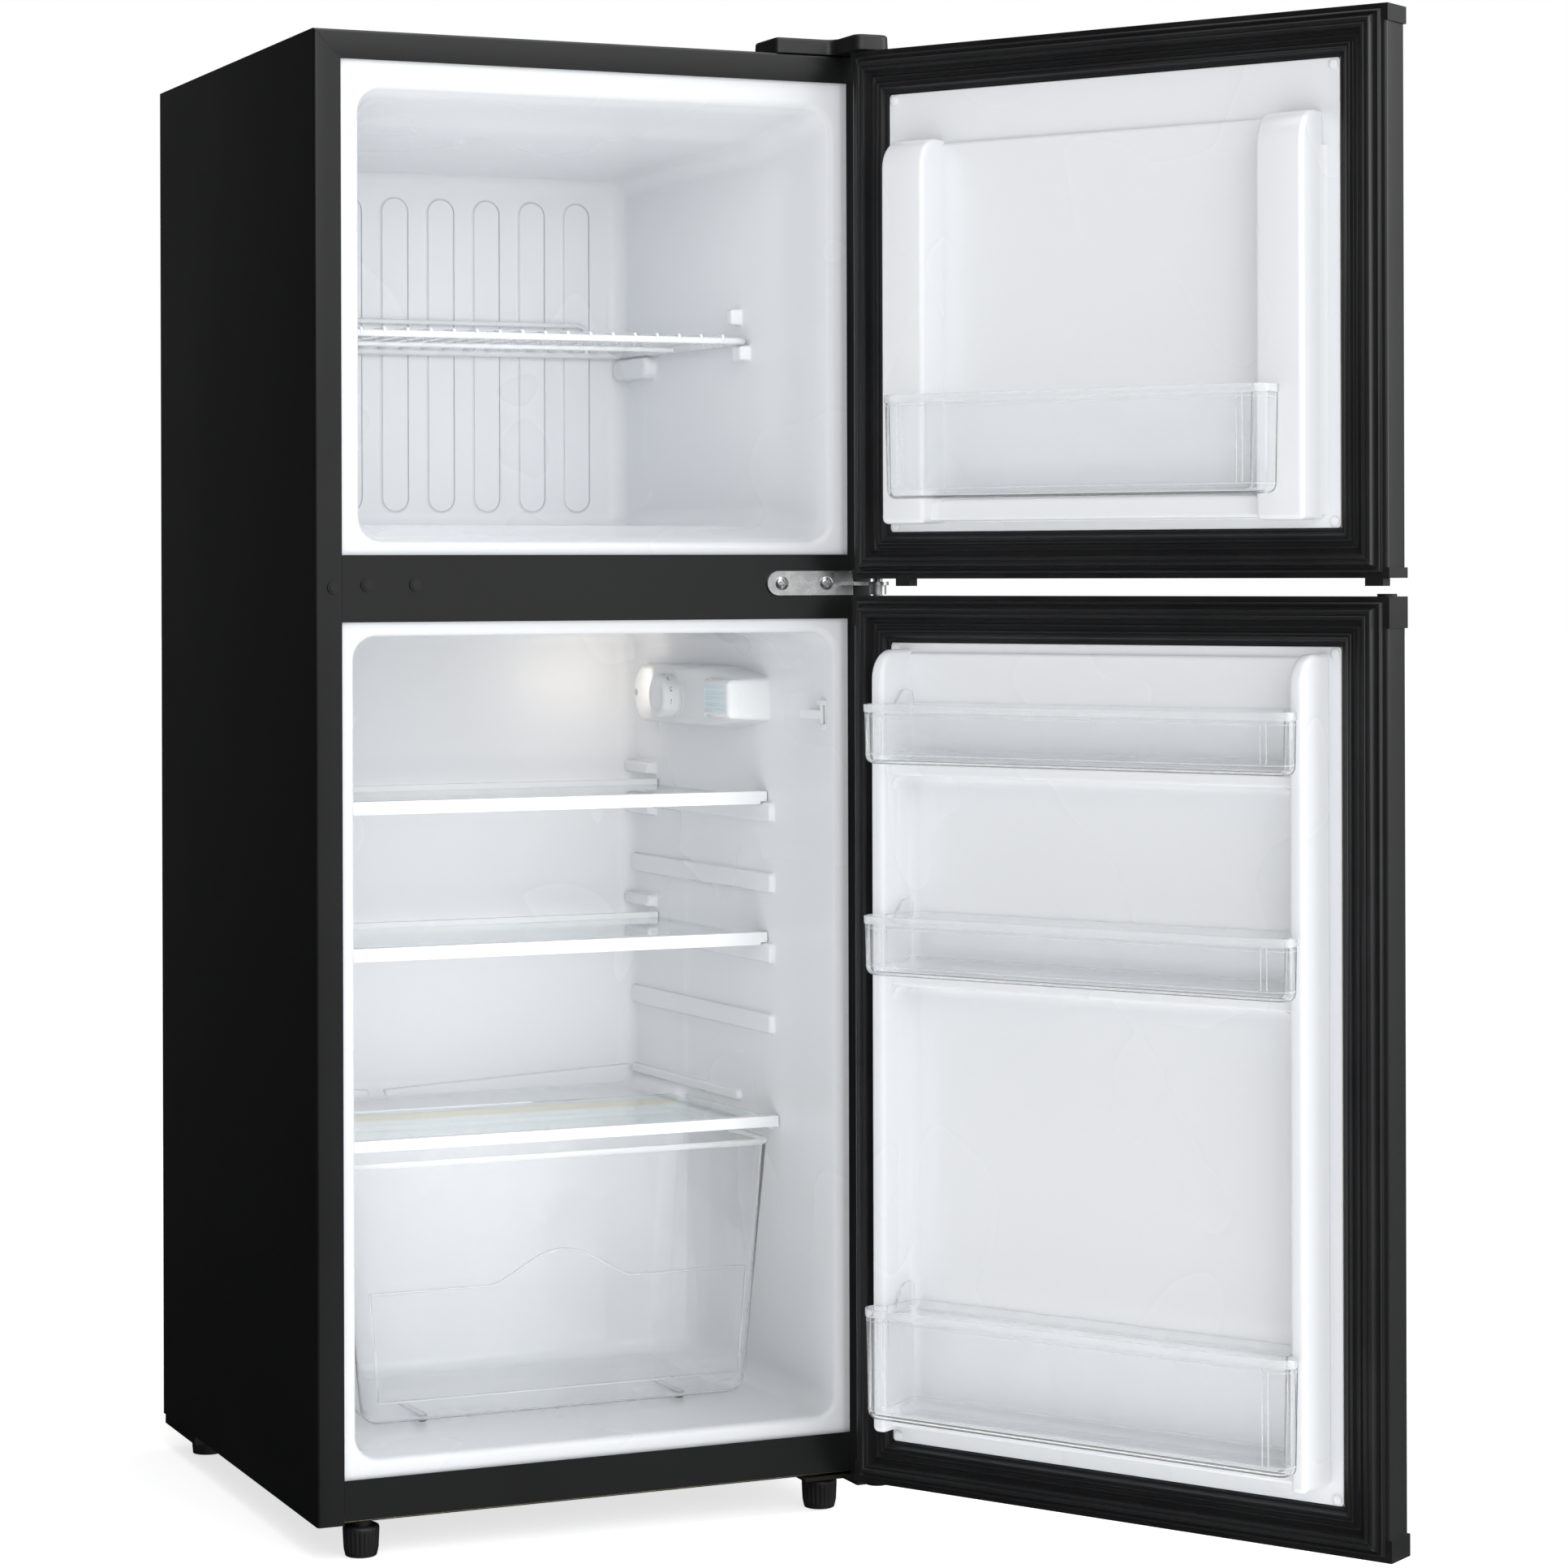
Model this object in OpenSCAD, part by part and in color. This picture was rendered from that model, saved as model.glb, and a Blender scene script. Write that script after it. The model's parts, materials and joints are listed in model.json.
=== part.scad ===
// Top freezer refrigerator with both doors standing open.
// Inside each module X runs to the right, Y from the cabinet's front plane to the back,
// and Z up from the bottom of the cabinet's steel wrapper. placed() then moves the piece so
// that the origin lies on the floor, under the middle of the cabinet.

/* [Cabinet] */
// Width of the cabinet
cab_w = 480; // [440:1:600]
// Depth of the cabinet without its doors
cab_d = 469; // [430:1:600]
// Height of the cabinet's steel wrapper
cab_h = 1175; // [1080:1:1500]
// Height of the wrapper's lower edge above the floor
foot_h = 29; // [26:1:45]
// Thickness of the painted steel sheet
sheet_t = 0.6; // [0.5:0.05:1]
// Width of the folded front flange at each side
flange_side = 22; // [18:1:26]
// Height of the folded front flange at the top
flange_top = 23; // [18:1:28]
// Height of the centre rail's lower edge
rail_z = 709; // [680:1:760]
// Height of the centre rail
rail_h = 53; // [48:1:64]
// Height of the bottom rail's lower edge
bottom_rail_z = 3; // [2:1:6]
// Height of the bottom rail
bottom_rail_h = 32; // [26:1:40]
// Thickness of the rails with their backing strip
rail_t = 3; // [2.6:0.1:4]

/* [Freezer liner] */
// Wall of a plastic liner
liner_t = 2; // [1.5:0.1:3]
// Insulation beside the freezer's mouth
freezer_wall = 38; // [34:1:48]
// Insulation above the freezer's mouth
freezer_roof = 45; // [38:1:60]
// Insulation behind the freezer's back wall
freezer_back = 66; // [56:1:80]
// White flange between a rail and a cavity's mouth
mouth_margin = 11; // [9:1:16]
// Depth of the freezer's flared throat
throat_d = 110; // [80:1:130]
// How much the throat narrows to each side
throat_in = 12; // [8:1:16]
// How much the walls narrow from the throat to the back
freezer_draft = 15; // [8:1:20]
// Corner radius of a cavity
cavity_r = 19; // [12:1:26]

/* [Fridge liner] */
// Insulation beside the fridge's mouth
fridge_wall = 33; // [30:1:44]
// Insulation behind the fridge's back wall
fridge_back = 54; // [46:1:70]
// Height of the fridge's floor above the bottom rail
fridge_floor = 14; // [10:1:20]
// How much the fridge's walls narrow from the mouth to the back
fridge_draft = 20; // [10:1:24]
// Depth at which the compressor step rises
step_y = 295; // [280:1:320]
// Height of the compressor step's top
step_z = 277; // [250:1:300]
// Height from one shelf ledge to the next
ledge_pitch = 60.3; // [54:0.1:66]
// Height of the lowest shelf ledge's top
ledge_z = 370; // [350:1:385]
// How far a ledge stands out from the wall
ledge_out = 5; // [4:0.5:6]
// Height of a ledge
ledge_h = 17; // [12:1:20]

/* [Shelves and drawer] */
// Depth behind the front plane at which the shelves start
shelf_y = 128; // [120:1:140]
// Depth of a glass shelf
shelf_d = 232; // [200:1:240]
// Thickness of the shelf glass
glass_t = 4; // [3:0.5:5]
// Height of the white front trim
trim_h = 9; // [8:0.5:12]
// Height of the wire shelf's support
wire_shelf_z = 942; // [900:1:980]
// Radius of the wire shelf's frame
frame_wire_r = 3; // [2.5:0.1:3.5]
// Radius of the thin shelf wires
thin_wire_r = 1.6; // [1.2:0.1:2]
// Number of thin shelf wires
thin_wires = 17; // [13:1:21]
// Depth behind the front plane at which the drawer starts
drawer_y = 95; // [90:1:105]
// Depth of the crisper drawer
drawer_d = 190; // [150:1:194]
// Height of the crisper drawer
drawer_h = 216; // [170:1:218]
// Wall of the clear drawer and bins
clear_t = 2.2; // [1.8:0.1:3]

/* [Doors] */
// Angle at which both doors stand open
open_angle = 121.3; // [95:0.1:130]
// Width of a door
door_w = 484; // [444:1:604]
// Thickness of a door without its gasket
door_t = 30; // [28:1:45]
// Gap between the cabinet's front plane and a door's inner plane
door_gap = 10; // [9:0.5:12]
// Gap between the two doors
door_split = 14; // [13:0.5:18]
// Distance from the pin's axis to the cabinet's side
pin_inset = 8.5; // [8:0.5:12]
// Distance from the cabinet's front plane to the pin's axis
pin_out = 30; // [26:1:34]
// Radius of a hinge pin
pin_r = 4; // [3.5:0.1:5]
// Height of the freezer door's top cap
cap_freezer_top = 13; // [12:1:20]
// Height of the freezer door's bottom cap
cap_freezer_bottom = 8; // [8:1:16]
// Height of the fridge door's top cap
cap_fridge_top = 24; // [20:1:30]
// Height of the fridge door's bottom cap
cap_fridge_bottom = 17; // [16:1:24]
// How far the caps stand proud of the door's skin
cap_proud = 1.2; // [0.8:0.1:2]
// Width of the gasket from the door's edge to the liner
gasket_w = 38; // [34:1:42]

/* [Door storage] */
// How far the fridge door's side dykes stand out from its inner plane
fridge_dyke = 47; // [40:1:48]
// How far the freezer door's side dykes stand out from its inner plane
freezer_dyke = 37; // [30:1:40]
// Width of a fridge door dyke
fridge_dyke_w = 12; // [10:1:14]
// Width of a freezer door dyke
freezer_dyke_w = 40; // [34:1:44]
// How far the fridge bins reach past their dykes
fridge_reach = 21; // [18:1:26]
// How far the freezer bin reaches past its dykes
freezer_reach = 30; // [20:1:32]
// How far the freezer bin's ends stay inside the dykes' outer faces
freezer_bin_inset = 18; // [10:1:24]
// How far the fridge bins' ends stay inside the dykes' outer faces
fridge_bin_inset = 2.5; // [2:0.5:6]
// Height of the freezer bin
freezer_bin_h = 83; // [70:1:90]
// Height of a shallow fridge bin
shallow_bin_h = 48; // [44:1:56]
// Height of the deep fridge bin
deep_bin_h = 89; // [80:1:100]

/* [Controls] */
// Radius of the thermostat dial
dial_r = 19.5; // [16:0.5:21]
// How far the dial stands out of its housing
dial_h = 15; // [12:0.5:18]
// Distance of the housing's face from the cabinet's side
housing_in = 68; // [62:1:76]

/* [Machine compartment] */
// Depth behind the front plane at which the compartment starts
bay_y = 338; // [333:1:345]
// Height of the compartment's roof
bay_h = 236; // [228:1:246]
// Radius of the compressor shell
compressor_r = 58; // [50:1:60]

/* [Hidden] */
$fn = 48;

// Small allowances: a thin slice, a running fit, a loose fit and a film of glue
slice = 0.02;
running = 0.05;
loose = 0.3;
film = 0.2;

// Cabinet
half_w = cab_w / 2;
inner_half = half_w - sheet_t;
flange_half = half_w - flange_side;
rail_top = rail_z + rail_h;
bottom_rail_top = bottom_rail_z + bottom_rail_h;
tuck = 5;
liner_y = rail_t + film;
panel_t = 0.8;
panel_in = 0.4;

// Freezer cavity
freezer_half = half_w - freezer_wall;
freezer_z0 = rail_top + mouth_margin;
freezer_z1 = cab_h - freezer_roof;
freezer_depth = cab_d - freezer_back;
throat_half = freezer_half - throat_in;
throat_z0 = freezer_z0 + throat_in + 2;
throat_z1 = freezer_z1 - throat_in - 5;
freezer_back_half = throat_half - freezer_draft;
freezer_back_z1 = throat_z1 - 8;
freezer_rib_w = 24;
freezer_rib_pitch = 43.3;
freezer_rib_count = 2 * floor((freezer_back_half - freezer_rib_w / 2 - cavity_r) / freezer_rib_pitch) + 1;
freezer_rib_z0 = throat_z0 + 16;
freezer_rib_z1 = freezer_back_z1 - 22;

// Fridge cavity
fridge_half = half_w - fridge_wall;
fridge_z0 = bottom_rail_top + fridge_floor;
fridge_z1 = rail_z - mouth_margin;
fridge_depth = cab_d - fridge_back;
ledge_y0 = shelf_y - 13;
ledge_y1 = fridge_depth - 10;
cover_y = drawer_y + 12;
cover_d = step_y + 8 - cover_y;
upper_shelf_z = ledge_z + 3 * ledge_pitch;
lower_shelf_z = ledge_z + ledge_pitch;
cover_z = step_z + loose;
shelf_side_gap = 1;
trim_t = 2.5;

// Doors
door_half = door_w / 2;
door_in = -door_gap;
door_out = -door_gap - door_t;
pin_x = half_w - pin_inset;
pin_y = -pin_out;
fridge_door_z0 = 2;
fridge_door_z1 = rail_z + rail_h / 2 - 0.5 - door_split / 2;
freezer_door_z0 = fridge_door_z1 + door_split;
freezer_door_z1 = cab_h - 1;
door_liner_half = door_half - gasket_w;
fridge_dyke_half = door_liner_half - 9.5;
freezer_dyke_half = door_liner_half - 14;
fridge_dyke_y = door_in + fridge_dyke;
freezer_dyke_y = door_in + freezer_dyke;
panel_out = 6;
gasket_edge = 4;
gasket_base_t = 3;
gasket_t = door_gap - 0.6;
bulb_edge = 9;
bulb_w = 10;
bellows_edge = 27;
bellows_w = 7;
bellows_t = 6;
bush_r = pin_r + 2;
boss_r = bush_r + 2.8;
cap_wall = 2.4;
cap_boss_h = 17;
bin_floor_y = door_in + panel_out + 1;

// Door storage heights, measured from the lower edge of each door
freezer_bin_z = freezer_door_z0 + 63.5;
deep_bin_z = fridge_door_z0 + 68;
middle_bin_z = fridge_door_z0 + 423;
top_bin_z = fridge_door_z0 + 592;

// Middle hinge
hinge_z = fridge_door_z1 + door_split / 2 + 3.5;
hinge_plate_h = 20;
hinge_plate_t = 2.5;
leaf_t = 2.5;
hinge_plate_l = 77;
tongue_t = 3;
tongue_z = freezer_door_z0 - tongue_t - 2.5;
screw_x = [half_w - 82.5, half_w - 42.4];
screw_r = 2.5;
screw_head_r = 5.5;
top_screw_x = [pin_x - 48, pin_x - 12];
top_screw_y = 26;
bottom_screw_x = [half_w - 49.4, half_w - 12];
bottom_screw_y = 48;
screw_head_t = 3;
screw_l = 9;

// Controls
control_z = fridge_z1 - 59;
housing_face = half_w - housing_in;
housing_r = 27;
housing_t = 1.8;
housing_y0 = 124;
housing_y1 = 344;
lamp_y0 = housing_y0;
lamp_y1 = 186;
lamp_h = 36;
lamp_out = 9;
dial_y = 276;
dial_shaft_r = 4;
lever_y = 20;
lever_z = fridge_z1 - 69;
lever_x = fridge_wall_x(lever_y) - 3;
lever_t = 2.4;
lever_pin_r = 1.6;
lever_pin_z = 10;
lever_ear_z = 12;

// Feet
foot_x = half_w - 41.4;
foot_y = 19.6;
foot_cap_r = 14.7;
foot_cap_h = 24.5;
foot_neck_r = 8.5;
stud_r = 4;
stud_l = 26;
rear_foot_r = 15;
rear_foot_x = half_w - 29;
rear_foot_y = cab_d - 41;
skid_h = 8;
skid_l = 104;

// Machine compartment
pan_t = 1.5;
compressor_x = -40;
compressor_y = (bay_y + cab_d) / 2 + 1;
compressor_z = 22;
compressor_h = 150;
mount_half_x = 70;
mount_half_y = 42;
tray_up = 6;
tray_z = compressor_z + compressor_h + tray_up;
tray_h = 28;
drain_x = -60;
drain_y = fridge_depth - 12;
drain_r = 7;
gland_x = 150;
gland_z = 26;
gland_r = 8;
gland_bore_r = 3.6;
gland_l = 14;
coil_r = 2.4;
coil_pitch = 44;
coil_runs = 8;
coil_z0 = 300;
coil_z1 = cab_h - 90;
coil_pocket = 7;
evaporator_t = 1.5;
evaporator_r = 3;

// Distance of a cavity's side wall from the middle at a given depth
function fridge_wall_x(y) = fridge_half - fridge_draft * y / fridge_depth;
function freezer_wall_x(y) = y < throat_d
    ? freezer_half - throat_in * y / throat_d
    : throat_half - freezer_draft * (y - throat_d) / (freezer_depth - throat_d);

// ---------- placing ----------

module placed() {
    translate([0, -cab_d / 2, foot_h])
        children();
}

// A door is drawn closed and then swung about its pins
module swung() {
    placed()
        translate([pin_x, pin_y, 0])
            rotate([0, 0, open_angle])
                translate([-pin_x, -pin_y, 0])
                    children();
}

module both_sides() {
    children();
    mirror([1, 0, 0])
        children();
}

// ---------- shared shapes ----------

// A box between two corners
module block(low, high) {
    translate(low)
        cube([high[0] - low[0], high[1] - low[1], high[2] - low[2]]);
}

// A rectangle with round corners between two corners
module round_rect(low, high, r) {
    translate([low[0] + r, low[1]])
        square([high[0] - low[0] - 2 * r, high[1] - low[1]]);
    translate([low[0], low[1] + r])
        square([high[0] - low[0], high[1] - low[1] - 2 * r]);
    for (x = [low[0] + r, high[0] - r])
        for (y = [low[1] + r, high[1] - r])
            translate([x, y])
                circle(r);
}

// An outline in X and Z, standing from depth y0 to depth y1
module standing(y0, y1) {
    translate([0, y1, 0])
        rotate([90, 0, 0])
            linear_extrude(y1 - y0)
                children();
}

// An outline in Y and Z, running from x0 to x1
module sideways(x0, x1) {
    translate([x0, 0, 0])
        rotate([90, 0, 90])
            linear_extrude(x1 - x0)
                children();
}

// A bar along Y
module rod_y(x, z, y0, y1, r) {
    translate([x, y0, z])
        rotate([-90, 0, 0])
            cylinder(h = y1 - y0, r = r);
}

// A bar along X
module rod_x(y, z, x0, x1, r) {
    translate([x0, y, z])
        rotate([0, 90, 0])
            cylinder(h = x1 - x0, r = r);
}

// An upright bar
module rod_z(x, y, z0, z1, r) {
    translate([x, y, z0])
        cylinder(h = z1 - z0, r = r);
}

// A thin slice of a cavity with round corners
module cavity_slice(half, z0, z1, y) {
    standing(y, y + slice)
        for (x = [-half + cavity_r, half - cavity_r])
            for (z = [z0 + cavity_r, z1 - cavity_r])
                translate([x, z])
                    circle(cavity_r, $fn = 32);
}

// Space of the freezer, grown by g to all sides
module freezer_space(g) {
    hull() {
        cavity_slice(freezer_half + g, freezer_z0 - g, freezer_z1 + g, 0);
        cavity_slice(throat_half + g, throat_z0 - g, throat_z1 + g, throat_d);
    }
    hull() {
        cavity_slice(throat_half + g, throat_z0 - g, throat_z1 + g, throat_d);
        cavity_slice(freezer_back_half + g, throat_z0 - g, freezer_back_z1 + g, freezer_depth + g);
    }
}

// Space of the fridge with the compressor step cut out of it, grown by g to all sides
module fridge_space(g) {
    back_half = fridge_half - fridge_draft;
    difference() {
        hull() {
            cavity_slice(fridge_half + g, fridge_z0 - g, fridge_z1 + g, 0);
            cavity_slice(back_half + g, fridge_z0 - g, fridge_z1 + g, fridge_depth + g);
        }
        block([-half_w, step_y + g, 0], [half_w, cab_d, step_z - g]);
    }
}

// Front flange of a liner, tucked behind the steel around it
module liner_flange(z0, z1) {
    block([-flange_half - tuck, liner_y, z0 - tuck], [flange_half + tuck, liner_y + liner_t, z1 + tuck]);
}

// ---------- cabinet ----------

// Steel wrapper: two sides and the top, folded inwards around the front
module cabinet_shell() {
    mitre = 0.4;
    color("#1d1e20")
    placed()
    difference() {
        block([-half_w, 0, 0], [half_w, cab_d, cab_h]);
        block([-inner_half, sheet_t, -1], [inner_half, cab_d + 1, cab_h - sheet_t]);
        block([-flange_half, -1, -1], [flange_half, sheet_t + 1, cab_h - flange_top]);
        both_sides()
            translate([half_w - sheet_t - flange_side / 2, 0, cab_h - sheet_t - flange_top / 2])
                rotate([0, -atan2(flange_top, flange_side), 0])
                    cube([flange_side * 1.2, 2 * sheet_t, mitre], center = true);
        rod_y(-half_w + 15, hinge_z - 2, -1, sheet_t + 1, screw_r);
        top_screw_holes();
    }
}

// Room for the screws of the top and the bottom hinge
module top_screw_holes() {
    for (x = top_screw_x)
        rod_z(x, top_screw_y, cab_h - 12, cab_h + 1, screw_r + running);
}

module bottom_screw_holes() {
    for (x = bottom_screw_x)
        rod_z(x, bottom_screw_y, -4, 12, screw_r + running);
}

// Flat sheet that closes the foam at the back
module back_panel() {
    color("#26272a")
    placed()
        block([-inner_half, cab_d - panel_t - panel_in, bay_h],
            [inner_half, cab_d - panel_in, cab_h - sheet_t]);
}

// Pan under the cabinet, with the compressor's floor, the rear skids and the foot inserts
module base_pan() {
    insert_r = 9;
    insert_h = 22;
    color("#202124")
    placed()
    difference() {
        union() {
            block([-inner_half, 8, 0], [inner_half, cab_d - 2, pan_t]);
            block([-inner_half, bay_y - 2, 0], [inner_half, bay_y - 1, 30]);
            both_sides()
                block([half_w - 46, cab_d - skid_l, -skid_h], [inner_half, cab_d - 4, 0.5]);
            both_sides()
                rod_z(foot_x, foot_y, 0, insert_h, insert_r);
            block([gland_x - 20, cab_d - 12, 0], [gland_x + 20, cab_d - 10, gland_z + 18]);
        }
        both_sides()
            rod_z(foot_x, foot_y, -1, insert_h + 1, stud_r + running);
        rod_y(gland_x, gland_z, cab_d - 20, cab_d, gland_r + running);
        bottom_screw_holes();
        both_sides()
            rod_z(rear_foot_x, rear_foot_y, -skid_h - 1, pan_t + 1, stud_r + running);
    }
}

// Rigid foam between the wrapper and the liners
module cabinet_foam() {
    foam_y = liner_y + liner_t + film;
    coil_y0 = 40;
    color("#e8dcae")
    placed()
    difference() {
        block([-inner_half, foam_y, pan_t], [inner_half, cab_d - panel_t - panel_in, cab_h - sheet_t]);
        freezer_space(liner_t + film);
        fridge_space(liner_t + film);
        block([-half_w, bay_y - 2, 0], [half_w, cab_d, 30]);
        block([-half_w, bay_y, 0], [half_w, cab_d, bay_h]);
        both_sides()
            rod_z(foot_x, foot_y, 0, 30, 12);
        block([-half_w, coil_y0, coil_z0 - 40], [-inner_half + coil_pocket, coil_y0 + 380, coil_z1 + 40]);
        block([-freezer_back_half + 8, freezer_depth, freezer_z0 + 20],
            [freezer_back_half - 8, freezer_depth + 14, freezer_back_z1 - 8]);
        rod_z(drain_x, drain_y, bay_h - 1, step_z + 1, drain_r + loose);
        both_sides()
            for (x = screw_x)
                rod_y(x, hinge_z, 0, 20, screw_r + 3);
        top_screw_holes();
        bottom_screw_holes();
    }
}

// White freezer liner with a ribbed back wall and supports for the wire shelf
module freezer_liner() {
    rib_out = 1.2;
    rib_r = freezer_rib_w / 2;
    block_out = 10;
    boss_out = 12;
    sink = liner_t / 2;
    color("#e3e8ec")
    placed() {
        difference() {
            union() {
                intersection() {
                    freezer_space(liner_t);
                    block([-half_w, liner_y, 0], [half_w, cab_d, cab_h]);
                }
                liner_flange(rail_top, cab_h - flange_top);
            }
            freezer_space(0);
        }
        for (i = [0 : freezer_rib_count - 1]) {
            x = (i - (freezer_rib_count - 1) / 2) * freezer_rib_pitch;
            standing(freezer_depth - rib_out, freezer_depth + sink)
                round_rect([x - rib_r, freezer_rib_z0], [x + rib_r, freezer_rib_z1], rib_r - 0.1);
        }
        both_sides() {
            block([freezer_wall_x(151) - block_out, 151, wire_shelf_z + 18],
                [freezer_wall_x(163) + sink, 163, wire_shelf_z + 32]);
            block([freezer_wall_x(134) - block_out, 134, wire_shelf_z - 13],
                [freezer_wall_x(152) + sink, 152, wire_shelf_z]);
            sideways(freezer_wall_x(340) - boss_out, freezer_wall_x(390) + sink)
                round_rect([325, wire_shelf_z - 20], [freezer_depth - 4, wire_shelf_z], 9);
        }
    }
}

// One shelf ledge that follows the drafted side wall
module ledge(z, h, y0, y1, out) {
    sink = liner_t / 2;
    translate([0, 0, z - h])
        linear_extrude(h)
            polygon([
                [fridge_wall_x(y0) + sink, y0],
                [fridge_wall_x(y0) - out, y0],
                [fridge_wall_x(y1) - out, y1],
                [fridge_wall_x(y1) + sink, y1]]);
}

// White fridge liner with ledges, rear corner blocks, the step and a sloped drain gutter
module fridge_liner() {
    corner_y0 = shelf_y + shelf_d + 2;
    corner_out = 9;
    gutter_h = 8;
    gutter_rise = 20;
    gutter_half = fridge_half - fridge_draft - 2;
    color("#e6eaee")
    placed() {
        difference() {
            union() {
                intersection() {
                    fridge_space(liner_t);
                    block([-half_w, liner_y, 0], [half_w, cab_d, cab_h]);
                }
                liner_flange(bottom_rail_top, rail_z);
            }
            fridge_space(0);
            rod_z(drain_x, drain_y, step_z - 10, step_z + 10, drain_r - 2);
        }
        both_sides() {
            for (i = [0 : 3])
                ledge(ledge_z + i * ledge_pitch, ledge_h, ledge_y0, ledge_y1, ledge_out);
            ledge(step_z + glass_t + 17, 9, 181, ledge_y1, ledge_out);
            ledge(step_z, 6, cover_y + 14, step_y - 4, 3);
            for (z = [lower_shelf_z, upper_shelf_z])
                for (offset = [trim_h + 4, -24])
                    ledge(z + offset + 12, 12, corner_y0 - 6, fridge_depth - 4, corner_out);
        }
        for (side = [-1, 1])
            standing(fridge_depth - 7, fridge_depth + 1)
                polygon([
                    [drain_x + side * 6, step_z - 0.5],
                    [drain_x + side * 6, step_z + gutter_h],
                    [side * gutter_half, step_z + gutter_rise],
                    [side * gutter_half, step_z - 0.5]]);
    }
}

// Steel rail between the two cavities
module centre_rail() {
    edge = 0.2;
    color("#2b2c2f")
    placed()
    difference() {
        union() {
            block([-flange_half + edge, 0, rail_z], [flange_half - edge, 0.8, rail_top]);
            block([-flange_half + 12, 0, rail_z + tuck + 1], [flange_half - 12, rail_t, rail_top - tuck - 1]);
        }
        both_sides()
            for (x = screw_x)
                rod_y(x, hinge_z, -1, rail_t + 1, screw_r + running);
    }
}

// Steel rail under the fridge's mouth
module bottom_rail() {
    edge = 0.2;
    color("#2b2c2f")
    placed() {
        block([-flange_half + edge, 0, bottom_rail_z], [flange_half - edge, 0.8, bottom_rail_top]);
        block([-flange_half + 12, 0, bottom_rail_z + 4],
            [flange_half - 12, rail_t, bottom_rail_top - tuck - 1]);
    }
}

// A button-headed plug in an unused screw hole
module plug(x, z, depth) {
    rod_y(x, z, -1.6, 0, 5);
    rod_y(x, z, -2.4, -1.5, 3.4);
    rod_y(x, z, -0.5, depth, screw_r - 0.1);
}

// Plugs in the hinge holes of the other hand
module hole_plugs() {
    color("#141416")
    placed() {
        for (x = screw_x)
            plug(-x, hinge_z, rail_t);
        plug(-half_w + 15, hinge_z - 2, sheet_t);
    }
}

// ---------- hinges ----------

// Leaf screwed on the cabinet's top, with the pin that holds the freezer door
module top_hinge_leaf() {
    color("#b9bdc1")
    placed()
    difference() {
        union() {
            block([pin_x - 60, 6, cab_h], [half_w - 4, 42, cab_h + leaf_t]);
            block([pin_x - 16, pin_y, cab_h], [half_w - 4, 10, cab_h + leaf_t]);
            rod_z(pin_x - 5, pin_y, cab_h, cab_h + leaf_t, 10);
            rod_z(pin_x, pin_y, cab_h - 12, cab_h + leaf_t, pin_r);
        }
        for (x = top_screw_x)
            rod_z(x, top_screw_y, cab_h - 1, cab_h + leaf_t + 1, screw_r + 0.1);
    }
}

// Black plastic cover over the top leaf
module top_hinge_cover() {
    wall = 1.8;
    height = 13;
    x0 = pin_x - 78;
    x1 = half_w - 1;
    color("#101113")
    placed()
    difference() {
        translate([0, 0, cab_h + 0.1])
            linear_extrude(height)
                union() {
                    round_rect([x0, -1], [x1, 48], 6);
                    round_rect([pin_x - 26, pin_y - 15], [x1, 40], 6);
                }
        translate([0, 0, cab_h])
            linear_extrude(height - wall)
                union() {
                    round_rect([x0 + wall, -1 + wall], [x1 - wall, 48 - wall], 5);
                    round_rect([pin_x - 26 + wall, pin_y - 15 + wall], [x1 - wall, 40], 5);
                }
    }
}

// Zinc plated plate on the centre rail, with a tongue that carries both doors' pins
module middle_hinge() {
    plate_x0 = screw_x[0] - 12.7;
    plate_x1 = plate_x0 + hinge_plate_l;
    end_r = hinge_plate_h / 2;
    tongue_r = 9;
    color("#c3c7ca")
    placed()
    difference() {
        union() {
            standing(-hinge_plate_t, 0) {
                translate([plate_x0 + end_r, hinge_z])
                    circle(end_r);
                translate([plate_x0 + end_r, hinge_z - end_r])
                    square([plate_x1 - plate_x0 - end_r, hinge_plate_h]);
            }
            block([pin_x - tongue_r - 12, pin_y, tongue_z], [pin_x + 3, -1, tongue_z + tongue_t]);
            rod_z(pin_x, pin_y, tongue_z, tongue_z + tongue_t, tongue_r);
            rod_z(pin_x, pin_y, fridge_door_z1 - 14, freezer_door_z0 + cap_freezer_bottom - 1, pin_r);
            rod_z(pin_x, pin_y, fridge_door_z1 + 1, tongue_z, 7);
        }
        for (x = screw_x)
            rod_y(x, hinge_z, -hinge_plate_t - 1, 1, screw_r + 0.1);
    }
}

// Bracket under the cabinet, with the pin that the fridge door stands on
module bottom_hinge() {
    color("#1a1b1d")
    placed()
    difference() {
        union() {
            block([foot_x - 22, -2, -leaf_t], [half_w - 2, 60, 0]);
            block([foot_x + 12, pin_y, -leaf_t], [half_w - 2, 0, 0]);
            rod_z(pin_x - 3, pin_y, -leaf_t, 0, 9.5);
            rod_z(pin_x, pin_y, -leaf_t, fridge_door_z0 + cap_fridge_bottom - 2, pin_r);
            rod_z(pin_x, pin_y, -leaf_t, fridge_door_z0 - 0.5, 7);
        }
        rod_z(foot_x, foot_y, -leaf_t - 1, 1, foot_neck_r + 0.4);
        for (x = bottom_screw_x)
            rod_z(x, bottom_screw_y, -leaf_t - 1, 1, screw_r + 0.1);
    }
}

// One hex flanged screw along Z, its head up
module screw_up() {
    cylinder(h = 1, r = screw_head_r);
    cylinder(h = screw_head_t, r = screw_head_r - 1.2, $fn = 6);
    translate([0, 0, -screw_l])
        cylinder(h = screw_l + 0.5, r = screw_r);
}

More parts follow.
